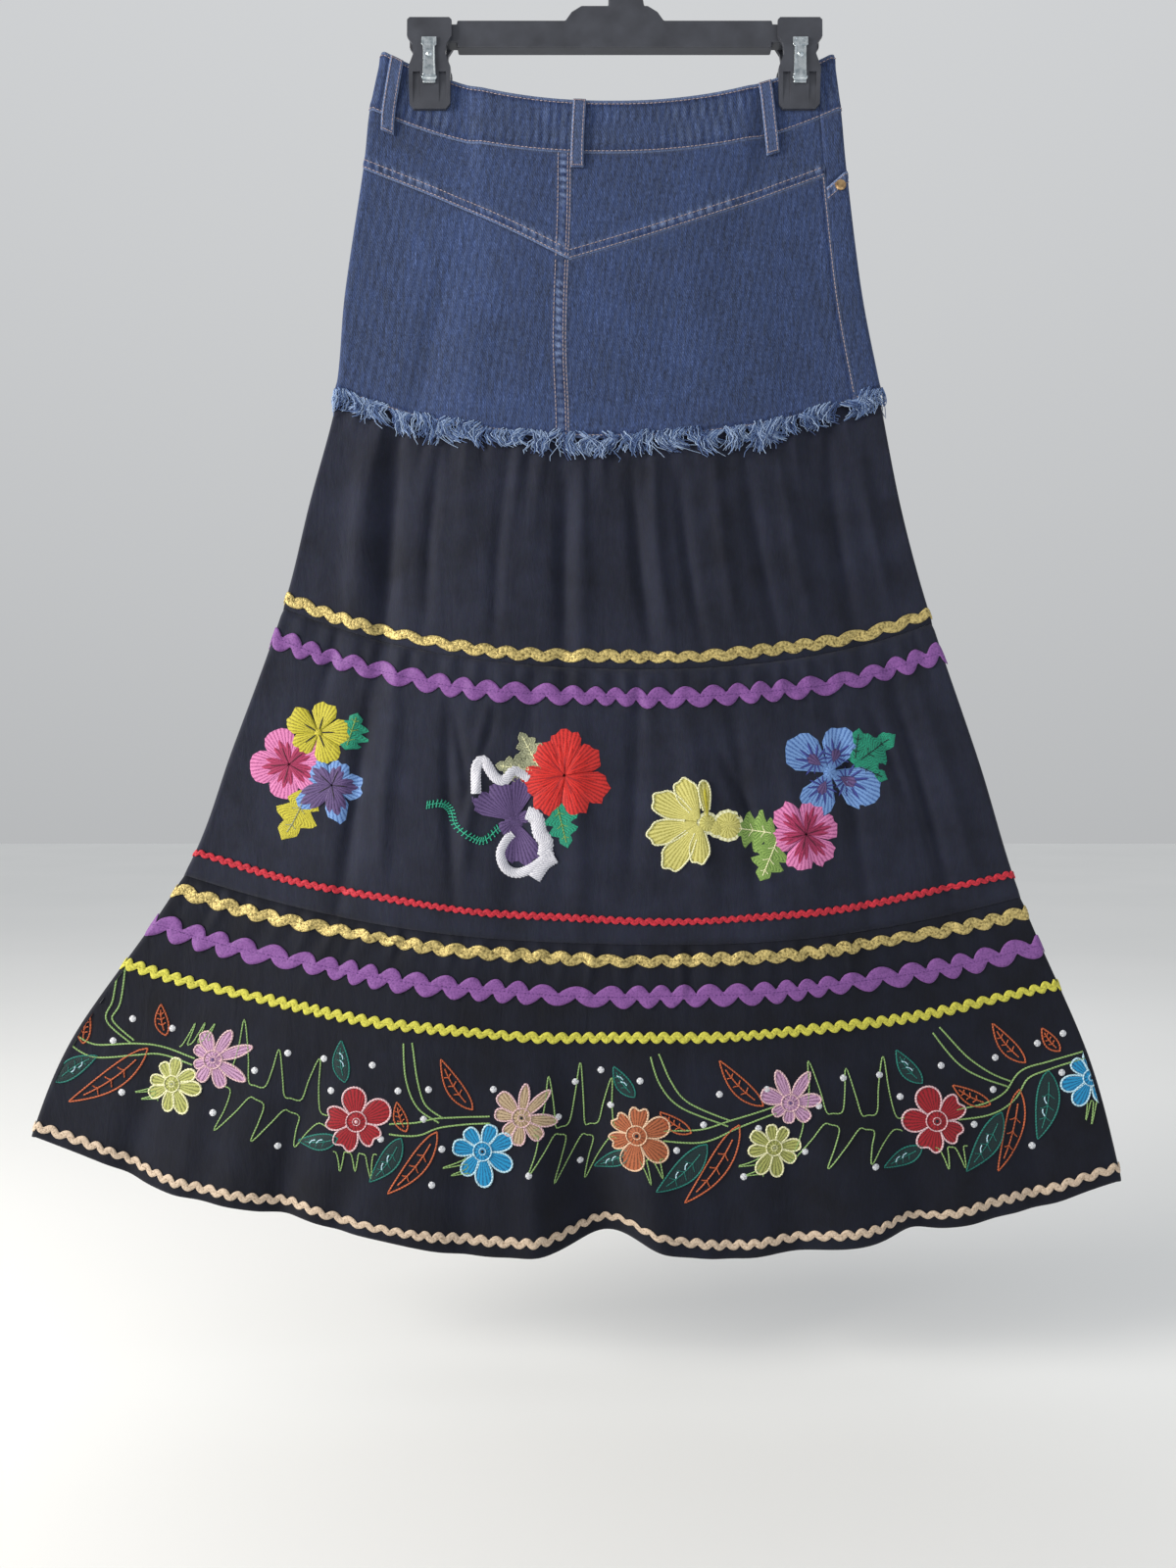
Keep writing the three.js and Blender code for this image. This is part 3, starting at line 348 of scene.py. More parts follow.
def colour(code):
    """An sRGB hex colour as linear red, green, blue and alpha."""
    parts = [int(code[i:i + 2], 16) / 255 for i in (1, 3, 5)]
    return tuple(p / 12.92 if p <= 0.04045 else ((p + 0.055) / 1.055) ** 2.4 for p in parts) + (1.0,)


def add_node(tree, kind, settings=None, links=None):
    """Adds a node with its settings, and with a value or a link for each socket that is named."""
    node = tree.nodes.new(kind)
    for name, value in (settings or {}).items():
        setattr(node, name, value)
    for name, value in (links or {}).items():
        if isinstance(value, bpy.types.NodeSocket):
            tree.links.new(value, node.inputs[name])
        else:
            node.inputs[name].default_value = value
    return node


def new_material(name, inputs):
    """A material with values for its shader's inputs, and the places that its patterns lie over."""
    material = bpy.data.materials.new(name)
    material.use_nodes = True
    tree = material.node_tree
    shader = tree.nodes["Principled BSDF"]
    for socket, value in inputs.items():
        shader.inputs[socket].default_value = value
    return material, tree, shader, add_node(tree, "ShaderNodeTexCoord").outputs["Object"]


def noise(tree, where, scale, detail=2, **values):
    """Noise of a scale in cells a metre, or of three scales that stretch it along the axes."""
    if isinstance(scale, tuple):
        where = add_node(tree, "ShaderNodeMapping", None, {"Vector": where, "Scale": scale}).outputs[0]
        scale = 1.0
    inputs = {"Vector": where, "Scale": scale, "Detail": detail, **values}
    return add_node(tree, "ShaderNodeTexNoise", None, inputs)


def ramp(tree, value, *stops):
    """The colour at each value, from stops that pair a value with a colour; the outer two come first."""
    node = add_node(tree, "ShaderNodeValToRGB", None, {"Fac": value})
    elements = node.color_ramp.elements
    for k, (place, code) in enumerate(stops):
        element = elements[k] if k < 2 else elements.new(place)
        element.position, element.color = place, colour(code)
    return node.outputs[0]


def maths(tree, operation, *values, clamp=False):
    """A sum over sockets and numbers."""
    settings = {"operation": operation, "use_clamp": clamp}
    return add_node(tree, "ShaderNodeMath", settings, dict(enumerate(values))).outputs[0]


def blended(tree, kind, factor, a, b):
    """Two colours put together in one of the ways of the mix node."""
    settings = {"data_type": "RGBA", "blend_type": kind}
    return add_node(tree, "ShaderNodeMix", settings, {"Factor": factor, "A": a, "B": b}).outputs["Result"]


def bump(tree, height, strength, distance, **more):
    """A relief of so many millimetres."""
    values = {"Height": height, "Strength": strength, "Distance": distance * MM, **more}
    return add_node(tree, "ShaderNodeBump", None, values).outputs[0]


def varied(tree, value, low, high):
    """A value spread between two others."""
    spread = add_node(tree, "ShaderNodeMapRange", None, {"Value": value, "To Min": low, "To Max": high})
    return spread.outputs[0]


def drive(tree, shader, **sockets):
    """Links the shader's inputs, whose names are given with _ for a space."""
    for name, socket in sockets.items():
        tree.links.new(socket, shader.inputs[name.replace("_", " ")])


def denim():
    """Cotton twill, indigo warp over a pale weft, stonewashed: streaks, pale flecks and worn seam edges, with
    painted shade between the puckers of the seams.
    """
    material, tree, shader, where = new_material("stonewashed_denim", {
        "Roughness": 0.88, "Sheen Weight": 0.1, "Sheen Roughness": 0.5, "Specular IOR Level": 0.25})
    # The real twill line is 0.6 mm from the next; it is drawn 1.7 mm apart so that it shows.
    slant = add_node(tree, "ShaderNodeMapping", None, {"Vector": where, "Rotation": (0, math.radians(28), 0)})
    twill = add_node(tree, "ShaderNodeTexWave", {"wave_type": "BANDS", "bands_direction": "X"},
                     {"Vector": slant.outputs[0], "Scale": 1 / (1.7 * MM) / math.pi, "Distortion": 1.4,
                      "Detail": 2, "Detail Scale": 2.0})
    # Streaks of warp 1 mm wide and 15 mm long, and flecks of pale weft.
    streaks = noise(tree, where, (1000, 1000, 70))
    flecks = noise(tree, where, (1100, 1100, 420), 3)
    patches = noise(tree, where, 13, 4, Roughness=0.6)
    uneven = 0.0
    for layer, weight in ((patches, 0.2), (streaks, 0.42), (flecks, 0.38)):
        uneven = maths(tree, "MULTIPLY_ADD", layer.outputs["Fac"], weight, uneven)
    washed = ramp(tree, uneven, (0.4, "#101b36"), (0.68, "#4c6299"), (0.58, "#283c6b"))
    # Pale fading from the wear value: real wear at seam edges, pocket mouths and belt loops, and painted
    # shade where the value is lowered between the seams' puckers.
    wear_and_pucker_shade = add_node(tree, "ShaderNodeAttribute", {"attribute_name": "wear_and_pucker_shade"})
    worn = maths(tree, "MULTIPLY", wear_and_pucker_shade.outputs["Fac"], flecks.outputs["Fac"], clamp=True)
    edge = blended(tree, "MIX", worn, washed, colour("#8fa3cc"))
    base = blended(tree, "MULTIPLY", 0.2, edge, twill.outputs["Color"])
    height = maths(tree, "ADD", twill.outputs["Fac"], flecks.outputs["Fac"])
    drive(tree, shader, Base_Color=base, Normal=bump(tree, height, 0.35, 0.35))
    return material


def black_cotton(name, dark, light, bloom):
    """Plain weave cotton, dyed black and washed: soft and dull, with a grey bloom and a fine crumple."""
    material, tree, shader, where = new_material(name, {
        "Roughness": 0.82, "Sheen Weight": bloom, "Sheen Roughness": 0.42, "Specular IOR Level": 0.25})
    blotches = noise(tree, where, 22, 5, Roughness=0.65)
    slubs = noise(tree, where, (1400, 1400, 260))
    tone = ramp(tree, blotches.outputs["Fac"], (0.3, dark), (0.75, light))
    base = blended(tree, "OVERLAY", 0.35, tone, slubs.outputs["Color"])
    # The crumple is 12 to 30 mm across and runs mostly up and down, as it does below gathers.
    crumple = noise(tree, where, (75, 75, 22), 4, Roughness=0.55, Distortion=0.4)
    coarse = bump(tree, crumple.outputs["Fac"], 0.55, 2.4)
    drive(tree, shader, Base_Color=base, Normal=bump(tree, slubs.outputs["Fac"], 0.3, 0.3, Normal=coarse))
    return material


def thread(name, code, dark, roughness=0.6, metallic=0.0, sheen=0.06, ribs=1.4, rib_depth=0.3, laid=0.0):
    """Twisted or flat thread laid close: a body colour with painted shade in its furrows, with fine ribs.

    ribs is the distance between the ribs in millimetres, and laid the distance between the furrows of
    threads that lie side by side, as in satin stitch.
    """
    material, tree, shader, where = new_material(name, {
        "Roughness": roughness, "Metallic": metallic, "Sheen Weight": sheen, "Specular IOR Level": 0.3})
    depth = noise(tree, where, 1 / (ribs * MM), 3, Roughness=0.6).outputs["Fac"]
    if laid:
        strand = add_node(tree, "ShaderNodeAttribute", {"attribute_name": "strand"})
        turns = maths(tree, "MULTIPLY_ADD", strand.outputs["Fac"], 2 * math.pi / laid, depth)
        depth = maths(tree, "MULTIPLY_ADD", maths(tree, "SINE", turns), 0.18, depth)
    # Painted shade: the colour falls to dark in the furrows, where the ribs and the laid threads lie low.
    tone = ramp(tree, depth, (0.28, dark), (0.58, code))
    drive(tree, shader, Base_Color=tone, Normal=bump(tree, depth, 0.7, rib_depth))
    return material


def moulded_plastic():
    """Black polypropylene, injection moulded: satin, with a faint grain and scuffs."""
    material, tree, shader, where = new_material("moulded_black_polypropylene", {"Roughness": 0.42})
    scuffs = noise(tree, where, 60, 5).outputs["Fac"]
    grain = noise(tree, where, 1400, 1).outputs["Fac"]
    drive(tree, shader, Base_Color=ramp(tree, scuffs, (0, "#2a2b31"), (1, "#4a4d56")),
          Roughness=varied(tree, scuffs, 0.34, 0.56), Normal=bump(tree, grain, 0.12, 0.1))
    return material


def metal(name, light, dark, roughness):
    """A metal with a little tarnish in patches a few millimetres wide."""
    material, tree, shader, where = new_material(name, {"Roughness": roughness, "Metallic": 1.0})
    tarnish = noise(tree, where, 260, 4).outputs["Fac"]
    drive(tree, shader, Base_Color=ramp(tree, tarnish, (0.32, dark), (0.6, light)),
          Roughness=varied(tree, tarnish, roughness + 0.15, roughness - 0.08))
    return material


DENIM = denim()
BLACK_COTTON = black_cotton("washed_black_cotton", "#121522", "#232739", 0.2)
# The lower tier's cotton: the same black cotton, with its colours darkened as painted shade for the light
# falling off towards the hem, and a lower sheen.
SHADED_BLACK_COTTON = black_cotton("black_cotton_painted_shade", "#080a14", "#141827", 0.08)
TOPSTITCH = thread("tan_topstitch_thread", "#a99a9c", "#6f6473", ribs=0.9)
YARNS = [
    thread("pale_denim_yarn", "#a3b7d4", "#7890b8", roughness=0.9),
    thread("mid_denim_yarn", "#6780ad", "#415886", roughness=0.9),
    thread("dark_denim_yarn", "#3a4f7e", "#232f55", roughness=0.9),
]
POLYPROPYLENE = moulded_plastic()
SPRING_STEEL = metal("bright_spring_steel", "#dfe6ea", "#a3afb5", 0.26)
ANTIQUE_BRASS = metal("antique_brass", "#cdab7e", "#66503a", 0.36)


# Meshes

def make_object(name, points, faces, materials, face_slots=None, flat=False):
    """A mesh from points in millimetres; face_slots gives each face's material."""
    mesh = bpy.data.meshes.new(name)
    mesh.from_pydata((np.asarray(points).reshape(-1, 3) * MM).tolist(), [], np.asarray(faces).tolist())
    for material in materials:
        mesh.materials.append(material)
    if face_slots is not None:
        mesh.polygons.foreach_set("material_index", np.asarray(face_slots, dtype=np.int32))
    mesh.polygons.foreach_set("use_smooth", [not flat] * len(mesh.polygons))
    mesh.update()
    piece = bpy.data.objects.new(name, mesh)
    bpy.context.scene.collection.objects.link(piece)
    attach(piece, "root")
    return piece


def set_values(piece, name, values):
    """Gives a piece a named value at each of its points, which its material reads."""
    piece.data.attributes.new(name, "FLOAT", "POINT").data.foreach_set("value", values.astype(np.float32))


def wall(outer, inner):
    """The points and the quads of a closed wall between two grids of points."""
    columns, rows = outer.shape[:2]
    count = columns * rows
    grid = np.arange(count).reshape(columns, rows)
    face = np.stack([grid[:-1, :-1], grid[:-1, 1:], grid[1:, 1:], grid[1:, :-1]], axis=-1).reshape(-1, 4)
    ring = np.concatenate([grid[:, 0], grid[-1, 1:], grid[-2::-1, -1], grid[0, -2:0:-1]])
    after = np.roll(ring, -1)
    edge = np.stack([ring, after, after + count, ring + count], axis=-1)
    points = np.concatenate([outer.reshape(-1, 3), inner.reshape(-1, 3)])
    faces = np.concatenate([face, face[:, ::-1] + count, edge])
    a, b, c, d = (points[faces[:, k]] for k in range(4))
    volume = np.einsum("ij,ij->i", a, np.cross(b, c)).sum() + np.einsum("ij,ij->i", a, np.cross(c, d)).sum()
    return points, faces if volume > 0 else faces[:, ::-1]


def cloth(name, w, level, thick, material, replaced, lift=0.0, wear_and_pucker_shade=None):
    """A thin wall of cloth over a grid of places."""
    points, faces = wall(skin(w, level, lift), skin(w, level, np.asarray(lift) - thick))
    piece = make_object(name, points, faces, [material])
    if wear_and_pucker_shade is not None:
        set_values(piece, "wear_and_pucker_shade", np.concatenate([wear_and_pucker_shade.ravel(), 0.3 * wear_and_pucker_shade.ravel()]))
    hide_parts(*replaced)
    return piece


SLOTS = {row["node"]: row["material_slot"] for row in frame["record"]["subparts"]}


# The plain front is meshed more coarsely than the back, so that the whole stays under a million triangles.
COARSER = {BACK: 1.0, FRONT: 1.45}
DENIM_PITCH, DENIM_ROWS_PITCH, COTTON_ROWS_PITCH = 2.2, 2.6, 5.5


def grid_between(start, end, top, bottom, pitch, rows_pitch):
    """A grid of places from one w to another, between two levels that may be functions of w."""
    widest = bottom((start + end) / 2) if callable(bottom) else bottom
    columns = max(int((end - start) / across_mm(widest, pitch)), 4)
    w = np.linspace(start, end, columns + 1)
    high = below(w, top(w) if callable(top) else np.full_like(w, top), SEAM_GAP)
    low = below(w, bottom(w) if callable(bottom) else np.full_like(w, bottom), -SEAM_GAP)
    tall = float(np.max(height_at(w, high) - height_at(w, low)))
    rows = max(int(tall / rows_pitch), 2)
    level = mix(high[:, None], low[:, None], np.linspace(0, 1, rows + 1)[None, :])
    return np.repeat(w[:, None], rows + 1, axis=1), level


def ridge(distance, width, height):
    """A soft ridge, for a felled seam or a rolled edge, at a distance in millimetres."""
    return height * np.exp(-((distance / width) ** 2))


def distance_down(w, level, reference):
    """Millimetres from a level down to each place, more than 0 below it."""
    return height_at(w, np.broadcast_to(reference, level.shape)) - height_at(w, level)


def distance_across(w, level, reference):
    """Millimetres across from a reference w to each place."""
    return (w - reference) / across_mm(level, 1.0)


def seam_wave(run):
    """The puckers along a seam, 7 mm apart, from 0 to 1."""
    return smooth(0.5 + 0.8 * np.sin(2 * math.pi * run / 7.0 + 1.7 * np.sin(run / 31.0)))


def seam_rise(away, run):
    """How far a seam's allowances and its puckers raise the denim, at a distance from the seam."""
    return ridge(away - 4.5, 4.0, 0.35 + 0.35 * seam_wave(run))


def row_places(start, end, top, bottom, edge, away):
    """The places of a row of stitches that follows an edge of a piece at a distance."""
    if edge in ("top", "bottom"):
        w = np.linspace(start, end, 240)
        border_of_piece = top if edge == "top" else bottom
        level = border_of_piece(w) if callable(border_of_piece) else np.full_like(w, border_of_piece)
        return w, below(w, level, away if edge == "top" else -away), (w / across_mm(level, 1.0))
    at = start if edge == "start" else end
    ends = [float(value(np.array([at]))[0]) if callable(value) else value for value in (top, bottom)]
    level = np.linspace(*ends, 240)
    w = at + across_mm(level, away if edge == "start" else -away)
    return w, level, height_at(w, level)


def denim_panel(name, start, end, top, bottom, flat, stitches, seams, mouths=(), thick=DENIM_THICK, lift=0.0,
                puckers=3.0):
    """A piece of denim. seams gives its topstitched edges and how far in, in mm, each of their rows runs."""
    coarser = COARSER[BACK if start < SIDE_SEAM else FRONT]
    w, level = grid_between(start, end, top, bottom, DENIM_PITCH * coarser, DENIM_ROWS_PITCH * coarser)
    high, low = level[:, :1], level[:, -1:]
    raised = np.full(w.shape, float(lift))
    wear_and_pucker_shade = 0.12 + 0.1 * seam_wave(distance_across(w, level, 0) + 9 * level)
    for edge, rows in seams.items():
        if edge in ("top", "bottom"):
            near = high if edge == "top" else low
            away = np.abs(distance_down(w, level, near))
            run = distance_across(w, near, 0)
        else:
            away = np.abs(distance_across(w, level, start if edge == "start" else end))
            run = height_at(w, level)
        if rows:
            raised += seam_rise(away, run)
            wear_and_pucker_shade += ridge(away - 0.8, 1.6, 0.8) - ridge(away - 3.0, 2.0, 0.25)
        # Along double-stitched seams and the waistband, the puckers: wear on their tops, and painted shade in
        # the gaps between them, where the value falls below the rest of the panel.
        if len(rows) > 1 or name.startswith("waistband"):
            uneven = 0.35 + 0.65 * smooth(0.5 + np.sin(run / 19.0) + 0.6 * np.sin(run / 7.3))
            wear_and_pucker_shade += ridge(away - 4.0 - puckers, puckers, (3.2 / puckers * seam_wave(run) - 0.1) * uneven)
        if edge in mouths:
            raised += ridge(away, 5.0, 0.4)
            wear_and_pucker_shade += ridge(away, 2.2, 1.0)
        for distance in rows:
            row_w, row_level, row_run = row_places(start, end, top, bottom, edge, distance)
            stitch_row(stitches, row_w, row_level, lift + seam_rise(distance, row_run) + 0.12)
    cloth(name + "_cloth", w, level, thick, DENIM, [name], lift=raised, wear_and_pucker_shade=np.clip(wear_and_pucker_shade, 0, 1.4))


def denim_hip():
    """The waistband, yoke, hip panels, pocket facings and fly, with their topstitching."""
    left = LEFT_SEAM - 2
    stitches = start_work()
    band = {
        "stitches": stitches, "thick": WAISTBAND_THICK,
        "seams": {"top": (2.6,), "bottom": (2.0,)}, "puckers": 9.0,
    }
    denim_panel("waistband_back", left, SIDE_SEAM, WAIST, WAIST_SEAM, (385, 48), **band)
    denim_panel("waistband_front_right", SIDE_SEAM, CENTRE_FRONT, WAIST, WAIST_SEAM, (195, 48), **band)
    denim_panel("waistband_front_left", CENTRE_FRONT, LEFT_SEAM, WAIST, WAIST_SEAM, (200, 48), **band)
    felled = (1.4, 3.4, 11.0)
    denim_panel("yoke_back_left", left, CENTRE_BACK, WAIST_SEAM, yoke_level, (190, 72), stitches,
                {"bottom": (2.0, 8.4), "end": felled})
    denim_panel("yoke_back_right", CENTRE_BACK, SIDE_SEAM, WAIST_SEAM, yoke_level, (205, 75), stitches,
                {"bottom": (2.0, 8.4), "start": ()})
    denim_panel("denim_back_left", left, CENTRE_BACK, yoke_level, DENIM_HEM, (200, 195), stitches,
                {"end": felled, "bottom": (2.6,)})
    denim_panel("denim_back_right", CENTRE_BACK, SIDE_SEAM, yoke_level, DENIM_HEM, (220, 195), stitches,
                {"end": (1.8,), "bottom": (2.6,)})
    denim_panel("denim_front_right", SIDE_SEAM, CENTRE_FRONT, pocket_level, DENIM_HEM, (225, 240), stitches,
                {"start": (), "end": (1.6, 8.0), "top": (2.2, 8.4), "bottom": (2.6,)}, ["top"])
    denim_panel("denim_front_left", CENTRE_FRONT, LEFT_SEAM, pocket_level, DENIM_HEM, (230, 240), stitches,
                {"start": (), "end": (), "top": (2.2, 8.4), "bottom": (2.6,)}, ["top"])
    denim_panel("pocket_facing_right", SIDE_SEAM, 1.2, WAIST_SEAM, pocket_level, (105, 42), stitches, {})
    denim_panel("pocket_facing_left", 1.72, LEFT_SEAM, WAIST_SEAM, pocket_level, (100, 42), stitches, {})
    denim_panel("fly", CENTRE_FRONT + 0.003, CENTRE_FRONT + 0.1, WAIST_SEAM + 0.02, WAIST_SEAM + 2,
                (41, 148), stitches, {"end": (2.0, 8.0), "bottom": (2.0, 8.0)}, lift=1.4, thick=1.0)
    for loop in LOOPS:
        belt_loop(loop, stitches)
    sew("topstitching", stitches, TOPSTITCH)


def cotton_tiers():
    """The three tiers of black cotton, with their gathers and the tucked line of each seam."""
    tiers = [
        {"name": "upper_tier", "top": 3.9, "bottom": SEAM_ONE, "cut": (600, 215), "pitch": 2.0},
        {"name": "middle_tier", "top": SEAM_ONE, "bottom": SEAM_TWO, "cut": (760, 228), "pitch": 2.2},
        {"name": "lower_tier", "top": SEAM_TWO, "bottom": HEM, "cut": (980, 250), "pitch": 2.2},
    ]
    for tier in tiers:
        for side, word in ((BACK, "back"), (FRONT, "front")):
            ends = (0.0004, 0.9996) if side == BACK else (1.0004, 1.9996)
            pitch, rows_pitch = tier["pitch"] * COARSER[side], COTTON_ROWS_PITCH * COARSER[side]
            w, level = grid_between(*ends, tier["top"], tier["bottom"], pitch, rows_pitch)
            from_top = distance_down(w, level, level[:, :1])
            from_bottom = distance_down(w, level, level[:, -1:])
            lift = -COTTON_UNDER - ridge(from_top, 2.5, 0.7) - ridge(from_bottom, 2.5, 0.5)
            name = f"{tier['name']}_{word}"
            # The lower tier takes the black cotton with painted shade.
            material = SHADED_BLACK_COTTON if tier["name"] == "lower_tier" else BLACK_COTTON
            cloth(name + "_cloth", w, level, COTTON_THICK, material, [name], lift=lift)


# The rows of ric-rac. wave is the length of a wave, swing the height of the lobes of its edges and band the
# width of the braid between them, all in millimetres; curl lifts the tips of the lobes.
BRAIDS = [
    {"name": "gold_braid_upper", "level": 5.91, "wave": 18.5, "swing": 2.0, "band": 7.2, "curl": 0.4},
    {"name": "purple_braid_upper", "level": 6.22, "wave": 20.0, "swing": 3.9, "band": 9.8, "curl": 1.5},
    {"name": "red_braid", "level": 7.83, "wave": 7.0, "swing": 1.25, "band": 3.9, "curl": 0.2},
    {"name": "gold_braid_lower", "level": 8.09, "wave": 17.0, "swing": 2.2, "band": 7.2, "curl": 0.4},
    {"name": "purple_braid_lower", "level": 8.3, "wave": 20.5, "swing": 4.1, "band": 10.2, "curl": 1.5},
    {"name": "yellow_braid", "level": 8.53, "wave": 10.2, "swing": 2.2, "band": 5.0, "curl": 0.4},
    {"name": "beige_braid", "level": 9.83, "wave": 11.2, "swing": 2.0, "band": 4.4, "curl": 0.3},
]
# Each braid's dark colour is painted shade in its furrows. The gold's strong dark and pale speckle is also
# painted glints, for the lamé's glitter.
BRAID_COLOURS = {
    "gold": {"code": "#d0bc7a", "dark": "#43360f", "roughness": 0.45, "metallic": 0.55, "ribs": 2.0,
             "rib_depth": 1.7},
    "purple": {"code": "#835296", "dark": "#5e3573", "roughness": 0.6},
    "red": {"code": "#c42839", "dark": "#841624", "roughness": 0.6},
    "yellow": {"code": "#ccc84e", "dark": "#938f30", "roughness": 0.6},
    "beige": {"code": "#cdb9a3", "dark": "#94806b", "roughness": 0.6},
}
BRAID_THREADS = {name: thread(name + "_ricrac_braid", **row) for name, row in BRAID_COLOURS.items()}
BRAID_STITCHES = {"purple": thread("deep_purple_sewing_thread", "#6f3d8c", "#472659")}


def wander(run, phase):
    """How far a hand-guided row strays from its line, in millimetres."""
    return 0.9 * np.sin(run / 61.0 + phase) + 0.6 * np.sin(run / 23.0 + 2.1 * phase)


def lobes(phase):
    """The edge of ric-rac, from -1 to 1: broad round lobes with a narrow notch between them."""
    return 2 * np.abs(np.cos(phase / 2)) ** 0.75 - 1


def braid(row, side, word):
    """A row of ric-rac on a side: a closed ribbon with lobed edges, pinched by its gathers here and there."""
    name = f"{row['name']}_{word}"
    mean_width = float(1 / across_mm(row["level"], 1.0))
    broad = side == BACK and row["band"] > 6
    count = int(mean_width / row["wave"]) * (14 if broad else 10)
    w = np.linspace(0.004, 0.996, count + 1) if side == BACK else np.linspace(1.004, 1.996, count + 1)
    run = np.linspace(0, mean_width, count + 1)
    shift = 1.5 * np.sin(run / 47.0 + row["level"]) + 1.1 * np.sin(run / 19.0 + 2.7 * row["level"])
    phase = 2 * math.pi * run / row["wave"] + shift
    line = wander(run, row["level"])
    narrowed = 1 - 0.13 * smooth(3 * np.sin(run / 33.0 + 5 * row["level"]) - 1.6)
    upper = line - narrowed * (row["band"] / 2 + row["swing"] * lobes(phase))
    lower = line + narrowed * (row["band"] / 2 + row["swing"] * lobes(phase + math.pi))
    across = np.linspace(-0.5, 0.5, 7 if broad else 5)
    drop = mix(upper[:, None], lower[:, None], across[None, :] + 0.5)
    level = below(w[:, None] + 0 * drop, np.full_like(drop, row["level"]), drop)
    rounded = 0.5 * (1 - (2 * across[None, :]) ** 2)
    tips = row["curl"] * smooth((np.cos(phase)[:, None] * across[None, :] * -2 - 0.1) / 0.9)
    tips = tips * (0.5 + 0.5 * np.sin(run / 29.0 + 3 * row["level"]))[:, None]
    sunk = 0.28 * np.exp(-(((drop - line[:, None]) / 0.9) ** 2))
    base = -COTTON_UNDER + 0.25 + tips
    grid_w = np.repeat(w[:, None], len(across), axis=1)
    points, faces = wall(skin(grid_w, level, base + 0.6 + rounded - sunk), skin(grid_w, level, base))
    material = BRAID_THREADS[row["name"].split("_")[0]]
    piece = make_object(name + "_ricrac", points, faces, [material])
    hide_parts(name)
    work = start_work()
    stitch_row(work, w, below(w, row["level"], line), -COTTON_UNDER + 1.05, length=2.4, gap=0.9, thick=0.6)
    sew(name + "_stitches", work, BRAID_STITCHES.get(row["name"].split("_")[0], material))


# Stitches and yarn

def start_work(step=1.3):
    """The points, lifts, strands, faces and thread numbers of one piece of needlework, as it grows.

    step is the length of a cord's stitches in millimetres.
    """
    return {"points": [], "lifts": [], "strands": [], "faces": [], "slots": [], "count": 0, "step": step}


def sew(name, work, material):
    """Makes finished stitches a piece."""
    piece = make_object(name, np.concatenate(work["points"]), np.concatenate(work["faces"]), [material])
    return piece


def sampled(values, run, at):
    """Points of a line at distances along it."""
    return np.stack([np.interp(at, run, values[:, k]) for k in range(3)], axis=-1)


def unit(vectors):
    """The vectors, each made 1 long."""
    return vectors / (np.linalg.norm(vectors, axis=-1, keepdims=True) + 1e-9)


# A stitch's sections: its share of the length, how far it stands up and its size.
STITCH_SECTIONS = [(0.0, 0.0, 0.62), (0.5, 0.3, 1.0), (1.0, 0.0, 0.62)]


def stitch_row(work, w, level, lift, length=2.9, gap=0.55, thick=0.85):
    """Adds a row of lockstitches along a line of places on the skin."""
    line = skin(w, level, lift)
    out = skin(w, level, np.asarray(lift) + 1.0) - line
    run = np.concatenate([[0], np.cumsum(np.linalg.norm(np.diff(line, axis=0), axis=1))])
    starts = np.arange(int(run[-1] / (length + gap))) * (length + gap)
    if not len(starts):
        return
    sections = []
    for share, rise, size in STITCH_SECTIONS:
        at = starts + share * length
        up = unit(sampled(out, run, at))
        aside = unit(np.cross(sampled(line, run, at + 0.3) - sampled(line, run, at - 0.3), up))
        centre = sampled(line, run, at) + up * rise
        half = thick / 2 * size
        ring = [centre + aside * half, centre + up * half, centre - aside * half, centre - up * half * 0.6]
        sections.append(np.stack(ring, axis=1))
    ring = np.arange(4)
    after = np.roll(ring, -1)
    last = 4 * (len(STITCH_SECTIONS) - 1)
    one = [np.stack([ring + k, after + k, after + k + 4, ring + k + 4], axis=-1) for k in range(0, last, 4)]
    one = np.concatenate(one + [ring[::-1][None], (ring + last)[None]])
    work["points"].append(np.stack(sections, axis=1).reshape(-1, 3))
    each = work["count"] + (last + 4) * np.arange(len(starts))
    work["faces"].append((one[None] + each[:, None, None]).reshape(-1, 4))
    work["count"] += (last + 4) * len(starts)


FRAY_YARNS = {BACK: 1500, FRONT: 1100}
FRAY_SECTIONS = 7


